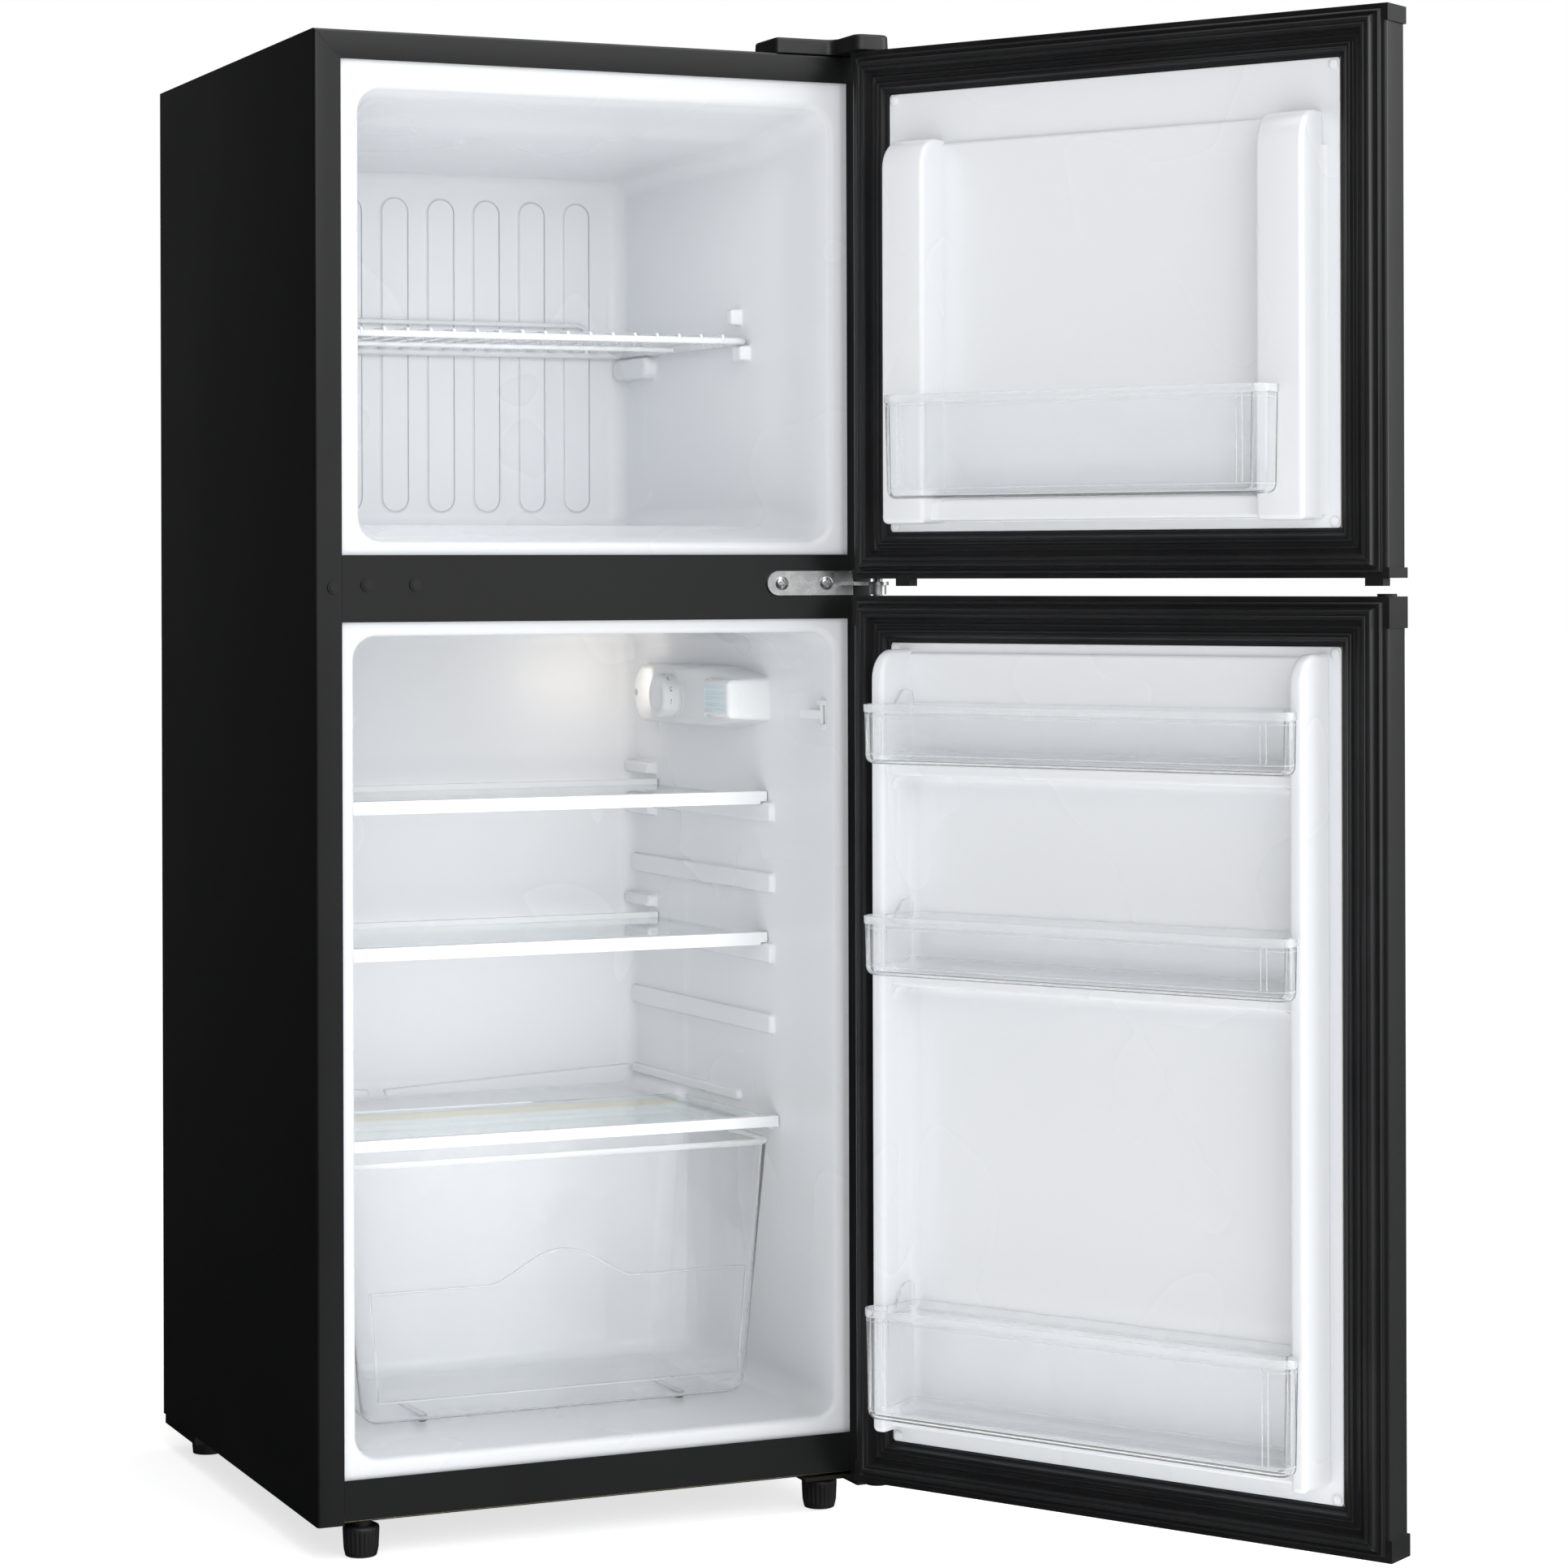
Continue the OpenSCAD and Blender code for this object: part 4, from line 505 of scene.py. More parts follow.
# %% [markdown]
# ## Finishes on the CAD parts
#
# The exact CAD solids that keep their own shape only need their slots filled. The record already
# says which slot each node belongs to, so the materials carry those names and a loop hands them out.
#
# %% Hand the finishes out
slot_of = {s["node"]: s["material_slot"] for s in frame["record"]["subparts"]}
for node_name, node in frame["nodes"].items():
    node.data.materials.clear()
    node.data.materials.append(FINISHES[slot_of[node_name]])
print("finished", len(slot_of), "nodes with", len(set(slot_of.values())), "finishes")

# %% [markdown]
# ## The two cavities
#
# Each white cavity is one sheet of polystyrene drawn into a box-shaped mould by vacuum. The sheet
# shows it: the front flange rolls over into the mouth, the walls lean in so that the mould lets go,
# and every inner edge is a wide soft curve. A boolean of boxes has none of that. Here one ring with
# round corners travels from the flange through the mouth to the back wall, and a Solidify modifier
# gives the finished surface its wall on the hidden side.
#
# %% A drawn cavity
def cavity(sections, steps=8):
    """Open skin through rings (depth, half width, low, high, corner radius), closed at the back, with
    its faces turned to the inside."""
    rings = []
    for y, half, low, high, r in sections:
        ring = rounded(box_corners(-half, half, low, high), r, steps)
        rings.append(np.stack([ring[:, 0], np.full(len(ring), y), ring[:, 1]], -1))
    points, faces = skin(rings)
    return points, [f[::-1] for f in faces if not (len(f) > 4 and f.max() < len(rings[0]))]


def drawn_sections(flange, mouth, walls, roll, back_r):
    """Sections of a cavity: flange edge, flange face, quarter-round into the mouth, the leaning walls,
    and a quarter-round of radius back_r into the back wall. walls are (y, half, low, high) rows."""
    face, half, low, high, r = mouth
    rows = [(face + 2, *flange, 3), (face, *flange, 3)]
    for t in quarter(5):
        grow = roll * (1 - math.sin(t))
        if t == 0:
            rows.append((face, half + grow + HAIR, low - grow - HAIR, high + grow + HAIR, r + grow))
        rows.append((face + roll * (1 - math.cos(t)), half + grow, low - grow, high + grow, r + grow))
    depth = walls[-1][0]
    table = np.array(walls, float)
    for y in np.linspace(face + roll + 4, depth - back_r, 26):
        near = [np.interp(y + shift, table[:, 0], table[:, k]) for shift in (-9, 0, 9) for k in (1, 2, 3)]
        rows.append((y, *np.mean(np.reshape(near, (3, 3)), 0), r))
    _, half, low, high, r = rows[-1]
    for t in quarter(6)[1:]:
        inset = back_r * (1 - math.cos(t))
        y = depth - back_r + back_r * math.sin(t)
        rows.append((y, half - inset, low + inset, high - inset, max(r - inset, 6)))
    y, half, low, high, r = rows[-1]
    return rows + [(y, half - HAIR, low + HAIR, high - HAIR, r - HAIR / 2)]


def thick(thing, wall):
    """Solidify: the wall grows behind the faces."""
    shell = thing.modifiers.new("wall", "SOLIDIFY")
    shell.thickness, shell.offset, shell.use_even_offset = wall / 1000, -1, True
    return thing


FRIDGE_DEPTH, FRIDGE_FRONT, FRIDGE_BACK = 415.0, 207, 187                      # depth, half widths
FREEZER_DEPTH, FREEZER_THROAT = 403.0, 110
FREEZER_FRONT, FREEZER_NECK, FREEZER_BACK = 202, 190, 175                     # half widths
FLANGE_HALF, FLANGE_FACE, MOUTH_R, BACK_R = 223, 3.2, 19, 15
STEP_DEPTH, STEP_RISE, STEP_R = 295, 228, 14


def fridge_wall(y):
    """Half width of the fridge cavity at depth y: it falls evenly from the front plane to the back."""
    return FRIDGE_FRONT - (FRIDGE_FRONT - FRIDGE_BACK) * np.asarray(y, float) / FRIDGE_DEPTH


def freezer_wall(y):
    """Half width of the freezer cavity: it falls fast through the throat and slowly behind it."""
    return np.interp(y, [0, FREEZER_THROAT, FREEZER_DEPTH], [FREEZER_FRONT, FREEZER_NECK, FREEZER_BACK])


def stepped(rows, y0, rise, r):
    """Floor raised by rise behind y0, where the compressor stands: a fillet of radius r up from the
    floor, a riser that leans half a millimetre, and a round-over of radius r onto the shelf."""
    low, high, corner = rows[-10][2], rows[-10][3], rows[-10][4]
    t = quarter(6)
    foot = np.stack([y0 - r + r * np.sin(t), low + r * (1 - np.cos(t))], -1)
    riser = np.linspace((y0 + 0.05, low + r + 2), (y0 + 0.45, low + rise - r - 2), 7)
    crest = np.stack([y0 + 0.5 + r * (1 - np.cos(t)), low + rise - r + r * np.sin(t)], -1)
    turn = [(y, fridge_wall(y), z, high, corner) for y, z in np.concatenate([foot, riser, crest])]
    behind = [(y, half, z + rise, top, c) for y, half, z, top, c in rows if y > y0 + r + 3]
    return [row for row in rows if row[0] < y0 - r - 3] + turn + behind


fridge_rows = drawn_sections((FLANGE_HALF, 30, 714), (FLANGE_FACE, FRIDGE_FRONT, 49, 698, MOUTH_R),
                             [(0, FRIDGE_FRONT, 49, 698), (FRIDGE_DEPTH, FRIDGE_BACK, 49, 698)], 5, BACK_R)
fridge_rows = stepped(fridge_rows, STEP_DEPTH, STEP_RISE, STEP_R)
freezer_rows = drawn_sections((FLANGE_HALF, 757, 1157), (FLANGE_FACE, FREEZER_FRONT, 773, 1130, MOUTH_R),
                              [(0, FREEZER_FRONT, 773, 1130), (FREEZER_THROAT, FREEZER_NECK, 787, 1113),
                               (FREEZER_DEPTH, FREEZER_BACK, 787, 1105)], 6, BACK_R)
print("fridge cavity", len(fridge_rows), "rings, freezer cavity", len(freezer_rows), "rings")

# %% [markdown]
# ## Ledges, blocks and ribs
#
# The shelf ledges are not separate parts: the same sheet was drawn over ribs in the mould, so each
# has a soft crest and a soft foot. A pad function makes one from any outline, and a small function
# lays the outline on the leaning side wall instead of on a flat.
#
# %% Pads on the walls
def on_wall(wall, side):
    """Carries (depth, height, rise) onto a side wall: x is the wall's half width less the rise."""
    return lambda y, z, h: np.stack([side * (wall(y) - h), y, z], -1)


def on_back(depth):
    """Carries (x, z, rise) onto the back wall."""
    return lambda x, z, h: np.stack([x, depth - h, z], -1)


def both(make):
    """The same pad on the left and on the right."""
    return [make(side) for side in (-1, 1)]


def rib(y0, y1, top, height, out, wall, side, r=4.0, foot=1.6, crown=2.0):
    """Long soft rib along a side wall."""
    r = min(r, height / 2 - 0.4)
    return pad(box_corners(y0, y1, top - height, top), r, 0, out, foot, crown, 0.15, on_wall(wall, side), 5)


LEDGES, FIRST_LEDGE, LEDGE_PITCH = 4, 370, 60.3
SHELVES = (430.3, 550.9)
BOSS_X, BOSS_TOP = -60, 277.5                                                 # the drain boss
fridge_pads = []
for i in range(LEDGES):
    fridge_pads += both(lambda s: rib(115, 404, FIRST_LEDGE + LEDGE_PITCH * i, 17, 5, fridge_wall, s))
fridge_pads += both(lambda s: rib(181, 404, 298, 9, 5, fridge_wall, s))
fridge_pads += both(lambda s: rib(121, 290, 277, 6, 3, fridge_wall, s, foot=1, crown=1))
for shelf in SHELVES:
    for lift_z in (25, -12):
        fridge_pads += both(lambda s: rib(356, 411, shelf + lift_z, 12, 9, fridge_wall, s, 3.5, 1.5, 2.5))

for side in (-1, 1):
    gutter = [(BOSS_X + side * 7, 274), (side * 186, 274), (side * 186, 296), (BOSS_X + side * 7, 285)]
    gutter = gutter[::-1] if side < 0 else gutter
    fridge_pads.append(pad(gutter, 1.5, 0, 7, 1.5, 3, 0.1, on_back(FRIDGE_DEPTH), 4))
boss = [(0.2, 270), (5.4, 270), (5.4, 276.9), (7.2, BOSS_TOP), (8.4, 277.2), (8.6, 276)]
fridge_pads.append(turned(boss, (BOSS_X, 403, 0), "z", 32))

LINER_SHEET = 1.6
liner = piece("fridge_liner_sheet", [cavity(fridge_rows)], "cabinet", "white_liner", ["fridge_liner"])
thick(liner, LINER_SHEET)
piece("fridge_ledges", fridge_pads, "cabinet", "white_liner")

RIBS_ASIDE, RIB_PITCH, RIB_HALF = 3, 43.3, 12
RACK_SEAT = 941.9                                                             # top of the rack's blocks
freezer_pads = []
for i in range(-RIBS_ASIDE, RIBS_ASIDE + 1):
    loop = box_corners(RIB_PITCH * i - RIB_HALF, RIB_PITCH * i + RIB_HALF, 803, 1083)
    freezer_pads.append(pad(loop, 11.8, 0, 1.4, 2.5, 1.0, 0.2, on_back(FREEZER_DEPTH), 8))


def block(y0, y1, z0, z1, r, out, foot, crown, draft, steps):
    """A shelf block on each side wall of the freezer."""
    return both(lambda s: pad(box_corners(y0, y1, z0, z1), r, 0, out, foot, crown, draft,
                              on_wall(freezer_wall, s), steps))


freezer_pads += block(151, 163, 960, 974, 2.5, 10, 1.5, 2, 0.08, 4)
freezer_pads += block(134, 152, 929, RACK_SEAT, 2.5, 10, 1.5, 2, 0.08, 4)
freezer_pads += block(326, 398, 922, RACK_SEAT, 8.5, 12, 2.5, 3.5, 0.12, 7)
liner = piece("freezer_liner_sheet", [cavity(freezer_rows)], "cabinet", "white_liner", ["freezer_liner"])
thick(liner, LINER_SHEET)
piece("freezer_ribs", freezer_pads, "cabinet", "white_liner")

# %% [markdown]
# ## Door linings
#
# A door's inner lining is drawn from the same sheet. Two deep bars, called dykes, carry the bins,
# and between them the sheet drops into shallow bays with wide soft corners. Each bay is a tray with
# a thin wall, each dyke is a slab seen from its side, with a big radius at its upper end, and all of
# them stand on one flat flange that holds the seal.
#
# %% Trays
def tray(outline, floor, rim, wall, fillet, lift):
    """Thin-walled open box as one closed skin. It starts in the middle of the floor, climbs a fillet to
    the rim, goes round it and comes down outside. outline(inset, height) gives the plan there."""
    arc = quarter(5)
    inside = [(wall + fillet + HAIR, floor)]
    inside += [(wall + fillet * (1 - math.sin(t)), floor + fillet * (1 - math.cos(t))) for t in arc]
    r = wall / 2
    round_rim = [(r + r * math.cos(t), rim - r + r * math.sin(t)) for t in quarter(3)]
    round_rim += [(r - r * math.sin(t), rim - r + r * math.cos(t)) for t in quarter(3)[1:]]
    outer = fillet + wall
    down = [(outer * (1 - math.sin(t)), floor - wall + outer * (1 - math.cos(t))) for t in arc[::-1]]
    levels = inside + round_rim + down + [(outer + HAIR, floor - wall)]
    rings = []
    for inset, height in levels:
        plan = outline(inset, height)
        rings.append(lift(plan[:, 0], plan[:, 1], np.full(len(plan), height)))
    return skin(rings)


def facing(x, z, h):
    """A level height above a door's inner plane, towards the cabinet: y grows with it."""
    return np.stack([x, h, z], -1)


def from_side(y, z, h):
    """An outline seen from the side, carried along x."""
    return np.stack([h, y, z], -1)


def bay(x, z0, z1, rim, floor, r=13, fillet=9):
    """Shallow bay between the dykes, its rim sunk a hair into them so that no line shows."""
    corners = box_corners(-x, x, z0, z1)
    slope = 1.4 / (rim - floor)

    def outline(inset, h):
        return level(corners, r, inset - 1.6 + slope * (rim - h), 7)

    shape = tray(outline, floor, rim, 1.2, fillet, facing)
    fills = []
    for arc, corner in zip(level(corners, r, -1.0, 7).reshape(4, 8, 2), shrunk(corners, -1.8)):
        ring = np.concatenate([arc, [corner]])
        fills.append(skin([facing(ring[:, 0], ring[:, 1], np.full(9, h)) for h in (-8.5, rim - 0.35)]))
    return [shape] + fills


# %% The lining of each door
def lining(z0, z1, half, width, top_y, dyke_z0, dyke_z1, ledges, ledge_t, top_r):
    """Flange, nubs, dykes, cross ledges and the bays between them, for a door from z0 to z1."""
    parts = [slab(box_corners(-204, 204, z0 + 38, z1 - 38), 3, -9.9, -7.9, 0.8, facing)]
    nub = [(0.2, -9.8), (4.0, -9.8), (4.0, -7.2), (3.2, -6.3), (1.6, -6.0), (0.2, -6.0)]
    for x in (-199, 199):
        for z in (z0 + 43, z1 - 43):
            parts.append(turned(nub, (x, 0, z), "y", 24))
    for side in (-1, 1):
        side_corners = box_corners(-9, top_y, dyke_z0, dyke_z1)
        radii = [0.5, 5, top_r, 0.5]
        soft = [(4 * (1 - math.sin(t)), side * (half - 4 * (1 - math.cos(t)))) for t in quarter(4)]
        far = [(4 * (1 - math.cos(t)), side * (half - width + 4 * (1 - math.sin(t)))) for t in quarter(4)]
        levels = [(4 + HAIR, side * half)] + soft + far + [(4 + HAIR, side * (half - width))]
        parts.append(stack(side_corners, radii, levels, from_side, 8))
        if width > 20:
            parts.append(dyke_flare(side, half, dyke_z0, dyke_z1))
    inner = half - width
    stops = [dyke_z0 + 2] + sorted(ledges)
    for low, high in zip(stops[:-1], stops[1:]):
        if high - low > 40:
            parts += bay(inner, low, high - ledge_t, top_y - 13, -4.0)
    for z in ledges:
        corners = box_corners(-inner - 2, inner + 2, z - ledge_t, z)
        parts.append(slab(corners, 1.5, -9, top_y - 12, 2.5, facing, 3))
    back = box_corners(-inner - 3, inner + 3, dyke_z0 + 1, dyke_z1 - 3)
    return parts + [slab(back, 6, -9, -4.2, 2.2, facing, 5)]


def dyke_flare(side, half, z0, z1):
    """Concave web on a wide dyke's outer side: a quarter-round of 6 mm between the dyke and the flange."""
    r = 6.0
    t = quarter(5)
    x = half + r * (1 - np.sin(t))
    y = -8 + r * (1 - np.sin(t[::-1]))
    profile = np.stack([np.append(x, half - 1), np.append(y, -9)], -1)
    x, y = profile.T
    return skin([upright(side * x, y, np.full(len(x), z)) for z in (z0 + 4, z1 - 26)])


FREEZER_DOOR, FRIDGE_DOOR = (742.0, 1174.0), (2.0, 728.0)
piece("freezer_door_lining", lining(*FREEZER_DOOR, 190, 40, 27, 786, 1096, [805.2], 17, 24),
      "freezer_door", "white_liner", ["freezer_door_liner"], swung)
piece("fridge_door_lining", lining(*FRIDGE_DOOR, 194.5, 12, 37, 56, 685, [69.7, 424.7, 593.7], 10, 24),
      "fridge_door", "white_liner", ["fridge_door_liner"], swung)

# %% [markdown]
# ## Magnetic seals
#
# The seal is an extrusion of soft black vinyl, cut at 45 degrees and welded at the corners. It has
# a flat base, a fat magnetic bulb and a folded bellows, and it is these parallel ridges that catch
# the light. One profile carried round a rectangle gives the ridges and the mitres at once, and a thin
# bead over each mitre is the weld.
#
# %% Seal profile carried round the doors
def ramp(s, low, high):
    """Smooth step from 0 at low to 1 at high."""
    t = np.clip((s - low) / (high - low), 0, 1)
    return t * t * (3 - 2 * t)


def seal_height(s):
    """Height of the seal above the door's inner plane at a distance s inside the door's edge: base,
    bulb with a shallow groove, narrow valley, bellows with two folds, thin inner lip."""
    base = 2.4 * ramp(s, 3.9, 4.8) - 2.2 * ramp(s, 36.6, 37.8)
    outer_lip = 1.1 * (ramp(s, 5.0, 5.8) - ramp(s, 6.4, 7.4))
    groove = 1.3 * (ramp(s, 12.4, 13.4) - ramp(s, 14.2, 15.2))
    bulb = 6.9 * (ramp(s, 8.4, 10.6) - ramp(s, 17.0, 19.4)) - groove
    fold = 1.5 * (ramp(s, 21.5, 22.6) - ramp(s, 23.4, 24.6))
    crease = 1.2 * (ramp(s, 29.2, 30.0) - ramp(s, 30.8, 31.6))
    bellows = 3.5 * (ramp(s, 26.4, 28.2) - ramp(s, 32.4, 34.4)) - crease
    return base + outer_lip + bulb + fold + bellows + 0.1


def seal(name, door, body, node):
    """The seal of one door with its four welds."""
    s = np.linspace(3.9, 37.8, 96)
    profile = np.concatenate([np.stack([s, seal_height(s)], -1), [(37.8, 0.05), (3.9, 0.05)]])
    z0, z1 = door
    parts = [framed(profile, -242, 242, z0, z1, -10)]
    for sx in (-1, 1):
        for x_edge, z_edge, sz in ((242, z0, 1), (242, z1, -1)):
            bead = np.linspace(4.6, 36.5, 60)
            path = np.stack([sx * (x_edge - bead), -10 + seal_height(bead) + 0.02, z_edge + sz * bead], -1)
            parts.append(tube(path, 0.28, 6))
    return piece(name, parts, body, "black_rubber", [node], swung, 50)


seal("freezer_door_seal", FREEZER_DOOR, "freezer_door", "freezer_door_gasket")
seal("fridge_door_seal", FRIDGE_DOOR, "fridge_door", "fridge_door_gasket")

# %% [markdown]
# ## Folded door skins
#
# The outer skin is one painted sheet folded round the foam, and what gives it away is the fold: a
# bend of two millimetres that draws a thin bright line down the door's edge. A square-edged solid
# cannot do that, so the C-shaped section is drawn with its bend radii and carried up the door.
#
# %% C-section skins
def folded_skin(name, z0, z1, body, node):
    """Sheet section with outer bends of 2.2 mm and inner bends of 1.6 mm, carried from z0 to z1."""
    section = [(-226, -10), (-242, -10), (-242, -40), (242, -40), (242, -10), (226, -10),
               (226, -10.6), (241.4, -10.6), (241.4, -39.4), (-241.4, -39.4), (-241.4, -10.6), (-226, -10.6)]
    radii = [0.1, 2.2, 2.2, 2.2, 2.2, 0.1, 0.1, 1.6, 1.6, 1.6, 1.6, 0.1]
    part = stack(section, radii, [(0, z0), (0, z0 + 40), (0, z1 - 40), (0, z1)], upright, 5)
    return piece(name, [part], body, "door_paint", [node], swung, 50)


folded_skin("freezer_door_sheet", 750, 1161, "freezer_door", "freezer_door_skin")
folded_skin("fridge_door_sheet", 19, 704, "fridge_door", "fridge_door_skin")

# %% [markdown]
# ## Clear bins and the crisper drawer
#
# Bins and drawer are injection-moulded in clear polystyrene. What the eye sees is the rim, the
# corners and the floor's fillet, so those are modelled and not faked: each is the closed tray skin
# with a real inner and outer wall, which refraction needs to look right.
#
# %% Door bins
def bin_outline(inner, outer, shoulder, front, r):
    """Plan of a bin: narrow between the dykes from y -3, wide in front of them."""
    corners = [(-inner, -3), (inner, -3), (inner, shoulder), (outer, shoulder), (outer, front),
               (-outer, front), (-outer, shoulder), (-inner, shoulder)]
    radii = [4, 4, 3.2, 4, r, r, 4, 3.2]
    return corners, radii


def band(outline, low, high, out, deep):
    """Closed band round an outline, from out (negative is outside) to deep, with rounded edges."""
    soft = min(0.9, (high - low) * 0.45, (deep - out) * 0.45)
    profile = rounded([(out, low), (deep, low), (deep, high), (out, high)], soft, 4)
    rings = []
    for inset, h in profile:
        plan = outline(inset, h)
        rings.append(upright(plan[:, 0], plan[:, 1], np.full(len(plan), h)))
    return looped(rings)


def bin_piece(name, node, body, plan, z, height, ear_x, ear_up):
    """Bin with a lip round its rim, two hair beads, a double line at each front corner and, where
    ear_up isn't 0, a raised ear at each end."""
    corners, radii = plan
    draft, outer_x, front_y, top = 0.018, corners[3][0], corners[4][1], z + height

    def outline(inset, h):
        return level(corners, radii, inset + draft * (top - h), 6)

    shape = tray(outline, z + 2.2, top - 6.2, 2.0, 5.0, upright)
    edge = [band(outline, top - 6.6, top, -0.8, 2.2)]
    for level_z in (top - 9.4, z + 8):
        edge.append(band(outline, level_z - 0.35, level_z + 0.35, -0.25, 0.3))
    if ear_up:
        for side in (-1, 1):
            ear = [(-2.6, top - 5), (25, top - 5), (25, top - 1), (14, top + ear_up - 0.5),
                   (-2.6, top + ear_up - 0.5)]
            near, far = sorted((side * (ear_x - 2.6), side * (ear_x - 0.1)))
            edge.append(slab(ear, [1, 1.5, 3, 7, 6], near, far, 0.8, from_side, 6))
    for side in (-1, 1):
        for x in (outer_x - 17, outer_x - 22):
            line = [(front_y - 0.35, z + 9), (front_y - 0.3, z + height / 2), (front_y - 0.25, top - 7)]
            edge.append(tube([(side * x, y, h) for y, h in line], 0.45, 8))
    # Rim band, hair beads and corner lines in the milky clear: their white is painted edge glow.
    piece(name.replace("clear", "rim"), edge, body, "clear_edge_glow", to_frame=swung, crease=40)
    piece(name, [shape], body, "clear_plastic", [node], swung, 40)


freezer_plan = bin_outline(148.5, 172, 28.5, 57, 13)
fridge_plan = bin_outline(181, 192, 38.5, 58, 13)
bin_piece("freezer_bin_clear", "freezer_door_bin", "freezer_bin", freezer_plan, 805.5, 83, 148.5, 0)
bin_piece("top_bin_clear", "fridge_door_top_bin", "top_bin", fridge_plan, 594, 48, 181, 11)
bin_piece("middle_bin_clear", "fridge_door_middle_bin", "middle_bin", fridge_plan, 425, 48, 181, 11)
bin_piece("bottom_bin_clear", "fridge_door_bottom_bin", "bottom_bin", fridge_plan, 70, 89, 181, 16)

# %% Crisper drawer
def drawer_outline(inset, height):
    """Plan of the drawer at a height: the sides lean out 24 mm from floor to rim, front and back 4 mm."""
    t = (height - 52) / 216
    front, rear = 169 + 22 * t, 161 + 20 * t
    y0, y1 = 98.5 - 2 * t, 281 + 2 * t
    return level([(-front, y0), (front, y0), (rear, y1), (-rear, y1)], 15, inset, 7)


def drawer_front(x):
    """Height of the raised front panel's upper edge: a shoulder with an arch of 24 mm over the grip."""
    return 161 + 26 * np.cos(np.clip(x / 62, -1, 1) * math.pi / 2) ** 1.5


def drawer():
    """Drawer body, the raised panel on its front with an arched top edge, and two floor runners."""
    body = tray(drawer_outline, 54.6, 263.8, 2.0, 11.0, upright)
    x = np.linspace(-166, 166, 84)
    top = drawer_front(x)
    line = np.stack([x, np.full(84, 97.2), top], -1)
    sides = [np.linspace((side * 166, 97.4, 161), (side * 159, 97.4, 72), 12) for side in (-1, 1)]
    foot = np.stack([np.linspace(-159, 159, 30), np.full(30, 97.6), np.full(30, 72.0)], -1)
    loop = np.concatenate([sides[0][::-1][1:-1], line, sides[1][1:-1], foot[::-1]])
    ridge = tube(loop, 0.9, 8, closed=True)
    runners = [slab(box_corners(x, x + 8, 116, 186), 3.9, 49.6, 54.2, 1.2, upright, 5) for x in (-118, 110)]
    return [body, ridge] + runners


# The drawer's rim in the milky clear: its white is painted edge glow.
rim = band(drawer_outline, 262.6, 267.6, -1.2, 2.2)
piece("crisper_drawer_rim", [rim], "crisper", "clear_edge_glow", crease=40)
piece("crisper_drawer_clear", drawer(), "crisper", "clear_plastic", ["crisper_drawer"], crease=40)

# %% [markdown]
# ## Wire rack
#
# The freezer shelf is bent from steel wire: one thick frame with rounded corners, thin wires welded
# across it, a raised hoop at the back that keeps food off the cold wall. A tube carried along each
# wire's own line gives the bends; straight cylinders would leave gaps there.
#
# %% Bend and weld the rack
def rack():
    """Frame loop, seventeen thin wires dipped over the front wire, one cross wire and the rear hoop."""
    y0, y1, z = 131.0, 395.0, 945.2
    front, rear = freezer_wall(y0) - 5.5, freezer_wall(y1) - 5.5
    corners = rounded([(-front, y0), (front, y0), (rear, y1), (-rear, y1)], 11, 7)
    loop = []
    for a, b in zip(corners, np.roll(corners, -1, 0)):
        long_side = np.linalg.norm(b - a) > 20
        loop.append(np.linspace(a, b, 5)[:-1] if long_side else a[None])
    parts = [tube(np.insert(np.concatenate(loop), 2, z, 1), 2.9, 12, closed=True)]
    for x in np.linspace(-rear + 9, rear - 9, 17):
        wire = [(y0 - 2.6, z - 0.5), (y0 - 1.5, z + 3.9), (y1 + 1.0, z + 3.9), (y1 + 2.2, z + 1.0)]
        parts.append(tube(bent([(x, y, h) for y, h in wire], 0.9, 3), 1.5, 9))
    parts.append(tube([(x, 262, z - 1.2) for x in (-rear + 2, -60, 60, rear - 2)], 2.2, 10))
    hoop = bent([(-137, y1, z + 1), (-137, y1, z + 27), (137, y1, z + 27), (137, y1, z + 1)], 9, 7)
    parts.append(tube(hoop, 2.3, 12))
    return parts


piece("freezer_rack_wires", rack(), "wire_rack", "white_wire", ["freezer_shelf"], crease=60)

# %% [markdown]
# ## Folded cabinet wrapper
#
# The wrapper is one painted sheet: two sides, a top, and front flanges folded in from them. Where
# the three flanges meet, the sheet is cut at an angle, and that mitre shows as a fine line. The fold
# has a radius of two and a half millimetres, which a squared solid lacks. One section carried up one
# side, over the top and down the other gives the folds, and its corner rings are the mitres.
#
# %% Section carried over the cabinet
CABINET_HALF, CABINET_TOP, CABINET_DEPTH, SHEET = 240, 1175, 469, 0.6
SIDE_FLANGE, TOP_FLANGE = 22, 23


def wrapper():
    """Sheet section (inset, depth) at the four corners of the front; inset runs towards the middle and
    is longer on the top flange. A second ring beside each corner keeps the flats flat."""
    corners = [(SIDE_FLANGE, 0), (0, 0), (0, CABINET_DEPTH), (SHEET, CABINET_DEPTH), (SHEET, SHEET),
               (SIDE_FLANGE, SHEET)]
    inset, y = rounded(corners, [0.1, 2.5, 0.1, 0.1, 1.9, 0.1], 5).T
    roof = CABINET_TOP - inset * TOP_FLANGE / SIDE_FLANGE

    def ring(x, z):
        return np.stack([x + 0 * y, y, z + 0 * y], -1)

    climb = (0, 600, roof - HAIR, roof)
    left = [ring(inset - CABINET_HALF, z) for z in climb]
    top = [ring(inset - CABINET_HALF + HAIR, roof), ring(CABINET_HALF - inset - HAIR, roof)]
    right = [ring(CABINET_HALF - inset, z) for z in climb[::-1]]
    return skin(left + top + right)


def mitre_shade_lines():
    """Hair-thin dark lines over the two mitres: painted shade standing for the shadow in each mitre gap."""
    seams = []
    for side in (-1, 1):
        a, b = np.array([side * 218.2, -0.02, 1152.2]), np.array([side * 238.6, -0.02, 1173.6])
        seams.append(tube(a + (b - a) * np.linspace(0, 1, 6)[:, None], 0.22, 6))
    return seams


